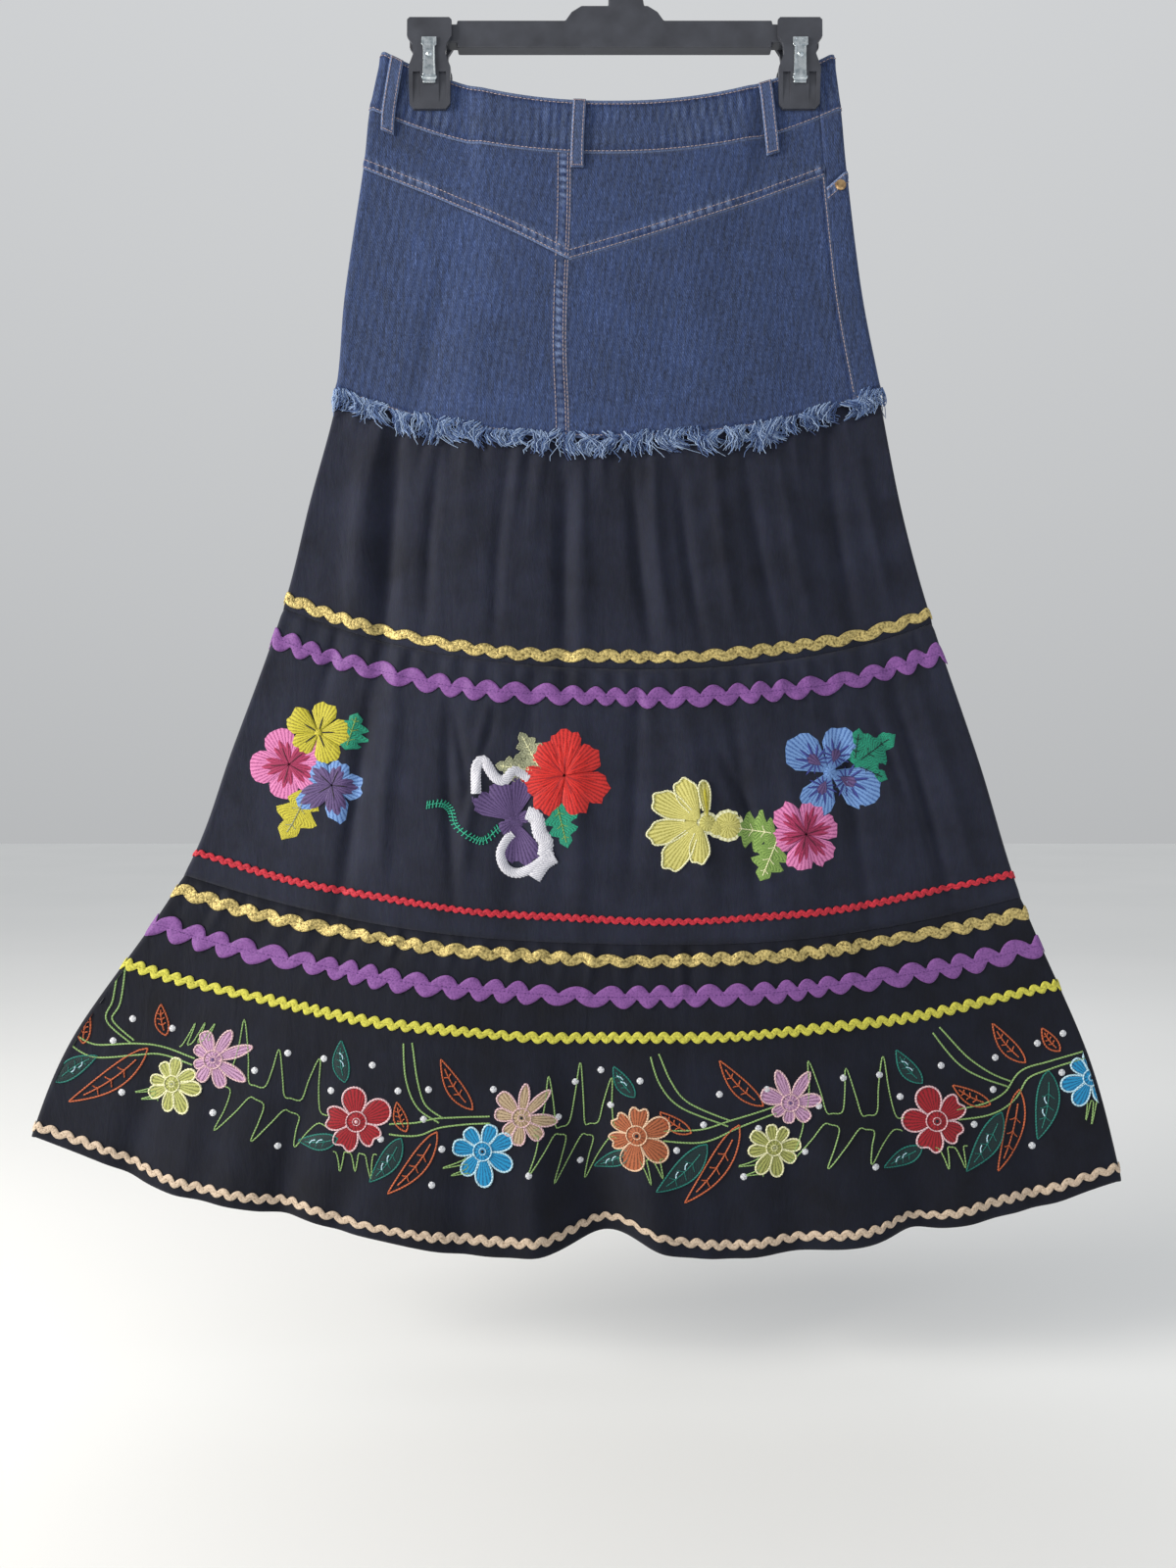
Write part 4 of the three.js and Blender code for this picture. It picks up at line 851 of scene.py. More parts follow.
def fray(side, word):
    """The denim's frayed edge: crimped weft yarns, in clumps that lean, bow and stand out together."""
    pick = np.random.default_rng(5 + side)
    yarns = FRAY_YARNS[side]
    width = float(1 / across_mm(DENIM_HEM, 1.0))
    run = np.sort(pick.uniform(0.002, 0.998, yarns)) * width
    clump_ends = np.cumsum(pick.uniform(5, 13, 80))
    clump = np.searchsorted(clump_ends, run)
    lean = pick.normal(0, 0.3, 81)[clump] + pick.normal(0, 0.14, yarns)
    bow = (pick.uniform(0.15, 0.42, 81) * pick.choice([-1, 1], 81))[clump] + pick.normal(0, 0.07, yarns)
    length = pick.uniform(14, 22, 81)[clump] * pick.uniform(0.7, 1.12, yarns)
    start = -pick.uniform(2.0, 8.0, 81)[clump] * pick.uniform(0.4, 1.0, yarns)
    stray = pick.random(yarns) < 0.07
    lean, length = np.where(stray, lean * 2.2, lean), np.where(stray, length * 1.25, length)
    out = pick.uniform(0.4, 2.6, yarns)
    phase = pick.uniform(0, 2 * math.pi, yarns)
    t = np.linspace(0, 1, FRAY_SECTIONS)[None, :]
    column = lambda values: values[:, None]
    aside = column(length) * (column(lean) * t + column(bow) * np.sin(math.pi * t))
    aside = aside + 0.75 * np.sin(2 * math.pi * 2.3 * t + column(phase))
    drop = column(start) + column(length) * t * (1 - 0.18 * np.abs(column(bow)) * 4 * t)
    lift = 0.55 + column(out) * np.sin(math.pi * np.clip(t * 0.9 + 0.08, 0, 1)) - 1.2 * t
    across = np.clip(column(run) / width + aside / width, 0.003, 0.997)
    w = across if side == BACK else 2 - across
    middle = skin(w, below(w, DENIM_HEM, drop), lift)
    along = unit(np.gradient(middle, axis=1))
    facing = unit(skin(w, below(w, DENIM_HEM, drop), lift + 1) - middle)
    beside = unit(np.cross(along, facing))
    radius = (0.62 - 0.2 * t)[..., None] * np.where(stray, 0.75, 1.0)[:, None, None]
    angles = [0.0, 2 * math.pi / 3, 4 * math.pi / 3]
    edges = [middle + radius * (math.cos(a) * facing + math.sin(a) * beside) for a in angles]
    points = np.stack(edges, axis=2)
    ring = np.arange(3)
    after = np.roll(ring, -1)
    one = np.concatenate([
        np.stack([ring + 3 * k, ring + 3 * k + 3, after + 3 * k + 3, after + 3 * k], axis=-1)
        for k in range(FRAY_SECTIONS - 1)
    ])
    faces = (one[None] + 3 * FRAY_SECTIONS * np.arange(yarns)[:, None, None]).reshape(-1, 4)
    tints = np.repeat(pick.choice(3, yarns, p=[0.42, 0.36, 0.22]), len(one))
    piece = make_object(f"fray_{word}_yarns", points, faces, YARNS, tints)
    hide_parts(f"fray_{word}")


# Needlework on the cotton. Places are in millimetres, as seen square on from 1 m behind the skirt.

EYE_X, EYE_Z = -21.6, -703.0


def place_seen(side, x, z):
    """The w and level of seen places. The front has the same picture, seen from its own side."""
    near, share = 1.0, 0.5
    for _ in range(2):
        real_x, real_z = EYE_X + (x - EYE_X) * near, EYE_Z + (z - EYE_Z) * near
        high, low = np.zeros_like(x), np.full_like(x, float(HEM))
        for _ in range(18):
            middle = (high + low) / 2
            size = sizes_at(middle)
            width = size["right_x"] - size["left_x"] - 2 * size["fold"]
            share = np.clip((real_x - size["left_x"] - size["fold"]) / width, 0, 1)
            above = hanging(size, share) > real_z
            high, low = np.where(above, middle, high), np.where(above, low, middle)
        bulge = smooth(share / BULGE_SHARE) * smooth((1 - share) / BULGE_SHARE)
        near = 1 - MM * mix(size["fold"], size["depth"], bulge)
    return w_of(side, share if side == BACK else 1 - share), (high + low) / 2


# How high needlework lies on the cotton, and the length of a cord's stitches, in millimetres. The front's
# are larger because its cotton is meshed more coarsely.
NEEDLEWORK_RISE = {BACK: 0.1, FRONT: 0.35}
CORD_STEP = {BACK: 1.3, FRONT: 2.2}


def lay(name, work, side, replaced=()):
    """Lays finished needlework on the cotton and makes it a piece."""
    points, lifts = np.concatenate(work["points"]), np.concatenate(work["lifts"])
    w, level = place_seen(side, points[:, 0], points[:, 1])
    places = skin(w, level, lifts - COTTON_UNDER + NEEDLEWORK_RISE[side])
    piece = make_object(name, places, np.concatenate(work["faces"]), list(FLOSS.values()),
                        np.concatenate(work["slots"]))
    set_values(piece, "strand", np.concatenate(work["strands"]))
    if replaced:
        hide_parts(*replaced)


def add_grid(work, x, z, lift, floss, closed=False, strand=0.0):
    """Adds a grid of points as quads.

    closed joins its last row to its first, and strand counts millimetres across its threads.
    """
    rows, columns = x.shape
    grid = work["count"] + np.arange(rows * columns).reshape(rows, columns)
    before, after = (grid, np.roll(grid, -1, axis=0)) if closed else (grid[:-1], grid[1:])
    faces = np.stack([before[:, :-1], after[:, :-1], after[:, 1:], before[:, 1:]], axis=-1).reshape(-1, 4)
    work["points"].append(np.stack([x.ravel(), z.ravel()], axis=-1))
    work["lifts"].append(np.broadcast_to(lift, x.shape).ravel())
    work["strands"].append(np.broadcast_to(strand, x.shape).ravel())
    work["faces"].append(faces)
    work["slots"].append(np.full(len(faces), list(FLOSS).index(floss)))
    work["count"] += rows * columns


def petal_places(centre, turn, form, s, t):
    """Places on a petal, a fan about a centre: s runs outwards, and t from side to side, -1 to 1."""
    point = form.get("point", 0.0)
    reach = form["length"] * np.clip(1 - np.abs(t) ** (2 - point), 0, 1) ** (0.38 + 0.62 * point)
    reach = reach * (1 - form.get("notch", 0.0) * np.exp(-((t / 0.3) ** 2)))
    reach = reach * (1 + form.get("scallop", 0.0) * np.cos(t * 11.0 + turn))
    angle = math.radians(turn) + math.radians(form["spread"]) * t
    out = s * np.maximum(reach, 0.12 * form["length"])
    return centre[0] + out * np.cos(angle), centre[1] + out * np.sin(angle)


def petal(work, centre, turn, form, floss, lift=0.6, rim=None, seat=0.03):
    """A padded satin-stitch petal whose edge lies at seat, with a corded rim where rim names its thread."""
    s, t = np.meshgrid(np.linspace(0.08, 1, 9), np.linspace(-1, 1, 11), indexing="ij")
    x, z = petal_places(centre, turn, form, s, t)
    dome = (lift - seat) * (0.35 + 0.65 * np.sin(math.pi * (0.15 + 0.8 * s))) * (1 - 0.6 * t**4)
    strand = t * math.radians(form["spread"]) * 0.62 * form["length"]
    add_grid(work, x, z, seat + np.where((s > 0.99) | (np.abs(t) > 0.99), 0, dome), floss, strand=strand)
    if rim:
        edge = np.linspace(-0.98, 0.98, 22)
        x, z = petal_places(centre, turn, form, np.ones(22), edge)
        cord(work, np.stack([x, z], axis=-1), 1.6, rim, lift=lift + 0.3, twist=0.15)


def cord(work, path, width, floss, lift=0.7, closed=False, twist=0.1, seat=0.03):
    """A raised line of chain stitch; twist makes its edge uneven, as loops of thread are."""
    path = np.asarray(path, float)
    if closed:
        path = np.concatenate([path, path[:1]])
    run = np.concatenate([[0], np.cumsum(np.linalg.norm(np.diff(path, axis=0), axis=1))])
    count = max(int(run[-1] / work["step"]), 3)
    even = np.linspace(0, run[-1], count + 1)
    x, z = np.interp(even, run, path[:, 0]), np.interp(even, run, path[:, 1])
    dx, dz = np.gradient(x), np.gradient(z)
    beat = np.where(np.arange(count + 1) % 2, 1.0, -1.0)
    half = width / 2 * (1 + twist * beat) / (np.hypot(dx, dz) + 1e-9)
    across = np.linspace(-1, 1, 8 if width > 3 else 4)
    x = x[:, None] - (dz * half)[:, None] * across
    z = z[:, None] + (dx * half)[:, None] * across
    rise = seat + (lift - seat) * np.sqrt(1 - across * across) * (1 + 0.2 * beat)[:, None]
    add_grid(work, x, z, rise, floss, strand=even[:, None] + 0.5 * width * across)


def knot(work, centre, radius, floss, lift=0.9):
    """A small raised dot of thread."""
    angle, share = np.meshgrid(np.linspace(0, 2 * math.pi, 13)[:-1], [1.0, 0.75, 0.3, 0.02], indexing="ij")
    x = centre[0] + radius * share * np.cos(angle)
    z = centre[1] + radius * share * np.sin(angle)
    rise = np.array([0.02, 0.75, 1.0, 1.05]) * lift
    add_grid(work, x, z, rise, floss, closed=True, strand=0.6 * radius * angle)


def curve_through(points, count=24):
    """A smooth path through given points."""
    points = np.asarray(points, float)
    t = np.linspace(0, len(points) - 1, count)
    i = np.clip(np.floor(t).astype(int), 0, len(points) - 2)
    a, b, c, d = (points[np.clip(i + k, 0, len(points) - 1)] for k in (-1, 0, 1, 2))
    f = (t - i)[:, None]
    return 0.5 * (2 * b + (c - a) * f + (2 * a - 5 * b + 4 * c - d) * f**2 + (3 * b - a - 3 * c + d) * f**3)


def heading(turn):
    """The directions along and to the left of a turn in degrees."""
    a = math.radians(turn)
    return np.array([math.cos(a), math.sin(a)]), np.array([-math.sin(a), math.cos(a)])


def leaf(work, centre, turn, length, width, edge=None, vein=None, fill=None, bend=0.0, teeth=0, lift=0.55):
    """A leaf with a satin blade, a corded edge, and a vein with side veins, of those that are named."""
    forward, aside = heading(turn)
    t = np.linspace(0, 1, 4 * teeth + 1 if teeth else 13)
    half = width / 2 * np.sin(math.pi * t**0.8) ** 0.9
    if teeth:
        half = half * (1 + np.choose(np.arange(len(t)) % 4, [-0.3, 0.0, 0.4, 0.3]))
    rib = np.asarray(centre, float) - forward * length / 2 + t[:, None] * length * forward
    rib = rib + (bend * length * np.sin(math.pi * t))[:, None] * aside
    left, right = rib + half[:, None] * aside, rib - half[:, None] * aside
    if fill:
        across = np.linspace(0, 1, 7)[None, :, None]
        blade = mix(right[:, None, :], left[:, None, :], across)
        furrow = 0.35 * np.exp(-(((across[..., 0] - 0.5) / 0.12) ** 2))
        dome = (1 - (2 * across[..., 0] - 1) ** 4) * (1 - furrow)
        strand = t[:, None] * length - np.abs(across[0, :, 0] - 0.5) * width
        add_grid(work, blade[..., 0], blade[..., 1], 0.03 + lift * dome, fill, strand=strand)
    if edge:
        cord(work, np.concatenate([left, right[::-1]]), 1.3, edge, closed=True, lift=lift + 0.2)
    if vein:
        cord(work, rib[2:-2], 1.2, vein, lift=lift + 0.4)
        for k in range(4, len(t) - 3, 4 if teeth else 2):
            for hand in (1, -1):
                tip = rib[k] + 0.62 * half[k] * (hand * aside + 0.6 * forward)
                cord(work, [rib[k], (rib[k] + tip) / 2 + 0.4 * forward, tip], 1.0, vein, lift=lift + 0.35)


def branch(work, points, gap, floss):
    """A stem of two corded lines that run side by side."""
    path = curve_through(points, 36)
    along = unit(np.gradient(path, axis=0))
    aside = np.stack([-along[:, 1], along[:, 0]], axis=-1)
    spread = gap / 2 * (1 + 0.3 * np.sin(np.linspace(0, 5, len(path))))
    for hand in (1, -1):
        cord(work, path + hand * spread[:, None] * aside, 1.35, floss)


def fern(work, start, end, turn, tall, spikes, floss):
    """An outlined frond of fern: a line from start to end, out to each slender spike's tip and back."""
    start, end = np.asarray(start, float), np.asarray(end, float)
    step = (end - start) / spikes
    forward, _ = heading(turn)
    path = [start]
    for i in range(spikes):
        middle = start + step * (i + 0.5)
        high = tall * (0.86 + 0.14 * math.cos(2.2 * i + turn))
        path += [
            middle - 0.3 * step + 0.06 * high * forward,
            middle - 0.17 * step + 0.5 * high * forward,
            middle + high * forward - 0.12 * step * math.cos(i),
            middle + 0.12 * step + 0.45 * high * forward,
            middle + 0.24 * step + 0.02 * high * forward,
            middle + 0.42 * step + 0.1 * high * math.sin(3 * i) * forward,
        ]
    path.append(end)
    cord(work, curve_through(path, 26 * spikes), 1.05, floss)


def flower(work, centre, radius, petals, turn, fill, form=None, rim=None, inner=None, slits=None, heart=None,
           lift=0.6, reach=0.62, jags=0.45, lean=None):
    """A flower of satin petals and, where named, a corded rim, jagged inner colour, dark slits and a heart.

    lean gives the turn towards which its petals grow longer and more pointed, and by how much.
    """
    for k in range(petals):
        angle = turn + 360.0 * k / petals + 4 * math.sin(3.1 * k + turn)
        shape = {"spread": 196.0 / petals, "notch": 0.1, **(form or {})}
        shape["length"] = radius * (1 + 0.07 * math.sin(2.4 * k + turn))
        if lean:
            pull = math.cos(math.radians(angle - lean[0]))
            shape["length"] *= 1 + lean[1] * pull
            shape["point"] = max(shape.get("point", 0.0), 0.8 * max(pull, 0) * (lean[1] > 0.15))
            shape["notch"] *= pull < 0.3
        height = lift + 0.25 * (k % 2)
        petal(work, centre, angle, shape, fill, height, rim)
        if inner:
            for share in (-0.36, 0.0, 0.36):
                jag = {"length": reach * shape["length"] * (1 - 0.35 * abs(share)),
                       "spread": jags * shape["spread"], "point": 0.75}
                jag_turn = angle + shape["spread"] * share
                petal(work, centre, jag_turn, jag, inner, height + 0.4, seat=0.75 * height)
        if slits:
            slit = {"length": 0.5 * radius, "spread": 7.0, "point": 0.7}
            petal(work, centre, angle, slit, slits, height + 0.6, seat=height + 0.1)
    if heart:
        knot(work, centre, radius * 0.13, heart, lift=lift + 1.3)


# The embroidery threads: body colour, and the painted shade of their furrows.
FLOSS_COLOURS = {
    "sun_yellow": ("#c3ba38", "#7f751c"), "lemon": ("#cdc776", "#968f40"),
    "vermilion": ("#cc2620", "#8c1212"),
    "burgundy": ("#5c1230", "#350a1c"), "brick": ("#9c1a22", "#660e14"), "ink": ("#1b1824", "#0c0b12"),
    "deep_teal": ("#0c2a2d", "#061a1c"),
    "pale_yellow": ("#ecebc2", "#bcb988"), "pink": ("#d780b2", "#9c487a"), "crimson": ("#a8325c", "#6c1838"),
    "sky_blue": ("#759bd0", "#40629f"), "plum": ("#5f4c7a", "#372750"), "navy": ("#3a428c", "#232a5e"),
    "leaf_green": ("#1f9474", "#0b5242"), "emerald": ("#33b08e", "#135e4c"), "lime": ("#87a656", "#4d6b2c"),
    "olive": ("#a3a688", "#62644a"),
    "scarlet": ("#cb2c28", "#861316"), "white": ("#d9d9e0", "#a2a2b0"), "red": ("#981422", "#560a12"),
    "rose_white": ("#e2c2c6", "#a68088"), "tan": ("#b8a284", "#7c684e"), "cyan": ("#1a8cc0", "#0b527c"),
    "ice": ("#c4e4f0", "#82aabc"), "terracotta": ("#aa5f3c", "#62341e"), "peach": ("#e8c8aa", "#ae8a6c"),
    "lilac": ("#bb92b4", "#74506e"), "yellow_green": ("#a8ab60", "#606430"), "teal": ("#1c7a6e", "#0f4a44"),
    "orange": ("#c2623a", "#7e3c20"), "spring_green": ("#94b672", "#5c7844"), "pearl": ("#d8dade", "#9a9ca4"),
}
# Threads that lie side by side are 0.8 mm apart; their furrows, with painted shade and a bump, are drawn 2.4
# mm apart so that they show.
FLOSS = {name: thread(name + "_embroidery_floss", *codes, ribs=0.9, laid=2.4)
         for name, codes in FLOSS_COLOURS.items()}


def pansy_petal(work, centre, turn, length, spread):
    """A pale blue petal with a plum eye in a ring of navy rays."""
    petal(work, centre, turn, {"length": length, "spread": spread, "scallop": 0.03}, "sky_blue", 1.0)
    forward, _ = heading(turn)
    eye = np.asarray(centre) + forward * 0.34 * length
    for ray in range(0, 360, 30):
        reach = 0.3 + 0.1 * math.cos(math.radians(ray)) + 0.03 * (ray % 60 > 0)
        ray_form = {"length": reach * length, "spread": 13, "point": 0.8}
        petal(work, eye, turn + ray, ray_form, "navy", 1.35, seat=0.9)
    eye_form = {"length": 0.32 * length, "spread": 38}
    petal(work, eye - forward * 0.13 * length, turn, eye_form, "plum", 1.6, seat=1.1)


def left_patch():
    """The pink, pale blue and yellow blooms, with a leaf above and a leaf below."""
    work = start_work()
    leaf(work, (-215, -660), 72, 32, 22, None, "lime", "leaf_green", teeth=4)
    leaf(work, (-262, -728), 244, 46, 27, None, "olive", "sun_yellow", bend=0.05, teeth=3)
    flower(work, (-266, -687), 34, 5, 113, "pink", {"point": 0.3, "spread": 52}, inner="crimson",
           slits="burgundy", reach=0.66)
    flower(work, (-231, -704), 29, 5, 66, "sky_blue", {"scallop": 0.05, "spread": 46}, inner="plum",
           slits="ink", lift=1.0, reach=0.8, jags=0.75, lean=(238, 0.24))
    flower(work, (-242, -661), 28, 5, 75, "sun_yellow", {"scallop": 0.03, "spread": 42}, slits="ink",
           heart="sun_yellow", lift=1.3)
    lay("patch_left_flowers", work, BACK, ["patch_left"])


def middle_patch():
    """The scarlet bloom and its leaves, and the twisted plum bloom with its thick white edge and its stem."""
    work = start_work()
    for centre, turn, length in (((-69, -676), 118, 34), ((-80, -690), 172, 34)):
        leaf(work, centre, turn, length, 17, "olive", "pale_yellow", "olive", teeth=5)
    leaf(work, (-43, -736), 284, 40, 21, None, "lime", "leaf_green", teeth=4)
    waist = (-82, -733)
    plum_petals = (
        (118, 34, 38, 1.2), (150, 38, 26, 1.0), (78, 38, 28, 1.1), (290, 38, 34, 1.2), (262, 34, 26, 1.1),
        (215, 15, 40, 1.0), (20, 14, 40, 1.0),
    )
    for turn, length, spread, high in plum_petals:
        petal(work, waist, turn, {"length": length, "spread": spread, "scallop": 0.06}, "plum", high)
    knot(work, waist, 8, "plum", lift=1.0)
    ruffles = [
        ([(-113, -711), (-113, -690), (-107, -684), (-98, -697), (-90, -700), (-82, -692), (-70, -699)], 8.5),
        ([(-72, -727), (-64, -731), (-61, -743), (-56, -751), (-58, -762)], 12.0),
        ([(-52, -757), (-62, -768), (-78, -776), (-89, -772), (-93, -760), (-88, -749), (-83, -744)], 8.0),
        ([(-49, -762), (-58, -768), (-66, -780)], 12.0),
    ]
    for points, width in ruffles:
        cord(work, curve_through(points, 50), width, "white", lift=1.7, twist=0.07)
    stem = curve_through([(-153, -720), (-141, -719), (-134, -725), (-130, -737), (-116, -747), (-106, -749),
                          (-95, -739)], 28)
    for place, way in zip(stem, unit(np.gradient(stem, axis=0))):
        slant = np.array([-way[1], way[0]]) * 3.2 + way * 0.9
        cord(work, [place - slant, place, place + slant], 1.1, "emerald", lift=0.9)
    cord(work, stem, 1.0, "emerald", lift=0.8)
    flower(work, (-41, -696), 37, 7, 84, "scarlet", {"spread": 36, "scallop": 0.05, "notch": 0.04},
           inner="vermilion", slits="brick", reach=0.8, lift=1.3)
    flower(work, (-41, -696), 17, 5, 30, "vermilion", {"spread": 24, "point": 0.6}, lift=2.1)
    lay("patch_middle_flowers", work, BACK, ["patch_middle"])


def right_patch():
    """The lemon bloom with its bud and leaves, the pansy with its leaves, and the pink bloom."""
    work = start_work()
    for turn, length in ((82, 30), (36, 42), (-24, 30)):
        forward, _ = heading(turn)
        place = np.array((196, -687)) + forward * length / 2
        leaf(work, place, turn, length, 0.55 * length, None, "deep_teal", "leaf_green", teeth=3)
    leaf(work, (114, -741), 172, 38, 26, None, "pale_yellow", "lime", teeth=4)
    leaf(work, (127, -764), 248, 40, 24, None, "pale_yellow", "lime", teeth=4)
    for turn, length, spread in ((152, 43, 26), (196, 44, 24), (234, 47, 24), (268, 34, 26), (115, 38, 26)):
        petal(work, (70, -734), turn, {"length": length, "spread": spread, "scallop": 0.03}, "lemon", 1.0,
              "pale_yellow")
    petal(work, (76, -734), 96, {"length": 34, "spread": 15}, "lemon", 1.5, "pale_yellow")
    petal(work, (76, -730), 96, {"length": 24, "spread": 9, "point": 0.4}, "sun_yellow", 1.8, seat=1.2)
    for x, z, radius in ((76, -735, 8), (84, -739, 7), (93, -737, 12)):
        knot(work, (x, z), radius + 1.4, "pale_yellow", lift=0.7)
        knot(work, (x, z), radius, "lemon", lift=1.3)
    for turn, length, spread in ((70, 38, 43), (144, 42, 42), (246, 38, 43), (334, 45, 43)):
        pansy_petal(work, (176, -693), turn, length, spread)
    knot(work, (176, -693), 5.5, "sky_blue", lift=1.2)
    flower(work, (156, -744), 31, 6, 75, "pink", {"scallop": 0.05, "spread": 38}, inner="crimson",
           slits="burgundy", lift=1.4, reach=0.78, jags=0.5)
    lay("patch_right_flowers", work, BACK, ["patch_right"])


# The border on the lower tier. Its flowers: x, z, radius, petals, turn, petal thread, rim thread, heart
# thread, and the turn and the amount of their lean.
BORDER_FLOWERS = [
    (-362, -948, 22, 8, 30, "yellow_green", "pale_yellow", "olive", 320, 0.12),
    (-328, -928, 25, 8, 15, "lilac", "rose_white", "plum", 5, 0.32),
    (-211, -979, 28, 5, 98, "red", "rose_white", "rose_white", 90, 0.04),
    (-108, -1003, 25, 7, 20, "cyan", "ice", "ink", 300, 0.08),
    (-76, -976, 26, 8, 40, "tan", "rose_white", "ink", 45, 0.2),
    (18, -991, 28, 6, 82, "terracotta", "peach", "ink", 310, 0.14),
    (144, -964, 24, 7, 60, "lilac", "rose_white", "plum", 75, 0.3),
    (131, -1001, 22, 8, 100, "yellow_green", "pale_yellow", "olive", 250, 0.08),
    (263, -978, 28, 5, 110, "red", "rose_white", "ink", 120, 0.04),
    (390, -943, 23, 7, 90, "cyan", "ice", "ink", 240, 0.1),
]
# Leaves with a dark blade and pale veins: x, z, turn, length.
TEAL_LEAVES = [
    (-440, -936, 32, 40), (-222, -930, 95, 34), (-243, -995, 186, 34), (-187, -1010, 234, 44),
    (8, -947, 125, 30), (-2, -1015, 212, 34), (55, -1018, 224, 58), (241, -934, 128, 34),
    (236, -1009, 208, 36), (302, -995, 237, 56), (351, -965, 262, 56),
]
# Leaves of an outline with a twig in it: x, z, turn, length.
ORANGE_LEAVES = [
    (-432, -903, 78, 25), (-369, -896, 98, 26), (-174, -975, 108, 25), (50, -980, 146, 31),
    (292, -957, 153, 35), (357, -912, 128, 24), (-129, -949, 122, 49), (104, -948, 134, 52),
    (323, -915, 130, 42), (-414, -941, 214, 78), (-165, -1012, 231, 64), (80, -1014, 235, 78),
    (323, -986, 254, 68),
]
# Pairs of lines: their middle line and the gap between them.
BRANCHES = [
    ([(-447, -909), (-426, -921), (-392, -920), (-372, -921), (-344, -930)], 8),
    ([(-184, -985), (-162, -985), (-142, -980), (-102, -978)], 8),
    ([(40, -991), (72, -991), (100, -981), (132, -970)], 8),
    ([(280, -973), (304, -969), (324, -959), (336, -941), (356, -933), (386, -924)], 8),
    ([(-402, -846), (-407, -880), (-413, -896), (-394, -914)], 5),
    ([(-169, -915), (-166, -944), (-158, -966), (-142, -978)], 7),
    ([(33, -925), (42, -948), (58, -966), (94, -981)], 7),
    ([(263, -904), (284, -928), (304, -941), (324, -949)], 7),
]
# Fronds: where they start and end, the turn of their spikes, how tall these are and how many.
FERNS = [
    ((-320, -938), (-234, -974), 82, 48, 3), ((-318, -950), (-236, -984), 238, 38, 3),
    ((-356, -918), (-330, -912), 62, 22, 3), ((-66, -986), (6, -984), 86, 54, 3),
    ((-66, -990), (2, -996), 248, 46, 3), ((152, -970), (238, -976), 96, 50, 3),
    ((150, -978), (236, -988), 244, 42, 3), ((-230, -1004), (-194, -1006), 272, 20, 3),
    ((18, -1012), (40, -1010), 290, 24, 2), ((262, -1000), (288, -998), 288, 20, 2),
    ((-378, -950), (-374, -962), 190, 18, 2), ((-122, -1008), (-118, -1022), 195, 20, 2),
    ((118, -1008), (122, -1024), 195, 18, 2), ((386, -962), (396, -962), 262, 20, 2),
]
PEARL_DOTS = [
    (-423, -880), (-394, -895), (-362, -903), (-410, -913), (-403, -955), (-294, -937), (-267, -923),
    (-328, -971), (-276, -1000), (-238, -928), (-198, -933), (-232, -954), (-177, -954), (-152, -953),
    (-156, -977), (-191, -993), (-141, -1001), (-149, -1029), (-99, -953), (-46, -977), (-70, -1022),
    (-28, -1017), (-32, -948), (-11, -938), (21, -946), (86, -957), (125, -953), (73, -982), (51, -1003),
    (-3, -967), (118, -985), (106, -1024), (187, -943), (217, -941), (167, -966), (234, -959), (267, -933),
    (310, -953), (294, -981), (213, -1016), (156, -1004), (312, -927), (346, -915), (367, -907),
    (366, -939), (343, -998),
]


def border(side, word):
    """The embroidered border of the lower tier."""
    work = start_work(CORD_STEP[side])
    for points, gap in BRANCHES:
        branch(work, points, gap, "spring_green")
    for start, end, turn, tall, spikes in FERNS:
        fern(work, start, end, turn, tall, spikes, "spring_green")
    for x, z, turn, length in TEAL_LEAVES:
        leaf(work, (x, z), turn, length, 0.24 * length + 5, "teal", "teal", "deep_teal", bend=0.06)
        forward, aside = heading(turn)
        for share in (-0.12, 0.06):
            start = np.array((x, z)) + forward * share * length
            vein = [start, start + 2.6 * forward, start + 5.5 * forward + 2.5 * aside]
            cord(work, vein, 1.3, "ice", lift=1.2)
    for x, z, turn, length in ORANGE_LEAVES:
        leaf(work, (x, z), turn, length, 0.13 * length + 7, "orange", "orange", bend=0.06)
    for x, z in PEARL_DOTS:
        knot(work, (x, z), 2.8, "pearl")
    for x, z, radius, petals, turn, fill, rim, heart, lean_turn, lean in BORDER_FLOWERS:
        form = {"notch": 0.2 if petals < 7 else 0.05, "spread": 190 / petals}
        flower(work, (x, z), radius, petals, turn, fill, form, rim=rim, lean=(lean_turn, lean))
        knot(work, (x, z), 0.3 * radius, fill, lift=1.3)
        ring = np.linspace(0, 2 * math.pi, 20)
        for size in (0.3, 0.11):
            circle = np.stack([x + size * radius * np.cos(ring), z + size * radius * np.sin(ring)], axis=-1)
            cord(work, circle, 1.3, rim, lift=1.7)
        knot(work, (x, z), 0.07 * radius, heart, lift=1.9)
    lay(f"border_embroidery_{word}", work, side)


# Loops, rivets and the hanger

LOOPS = [
    {"name": "belt_loop_back_left", "side": BACK, "top": 0.028, "bottom": 0.035, "from": 0.03, "to": 1.32},
    {"name": "belt_loop_back_centre", "side": BACK, "top": 0.437, "bottom": 0.44, "from": 0.01, "to": 1.3},
    {"name": "belt_loop_back_right", "side": BACK, "top": 0.852, "bottom": 0.858, "from": 0.02, "to": 1.36},
    {"name": "belt_loop_front_left", "side": FRONT, "top": 0.34, "bottom": 0.35, "from": 0.02, "to": 1.3},
    {"name": "belt_loop_front_right", "side": FRONT, "top": 0.67, "bottom": 0.66, "from": 0.02, "to": 1.3},
]
LOOP_WIDTH, LOOP_THICK, LOOP_RISE = 10.5, 1.5, 1.4
HOOK_RADIUS, ROD_RADIUS, NECK_X, NECK_TOP = 23.0, 3.0, 9.0, -56.0


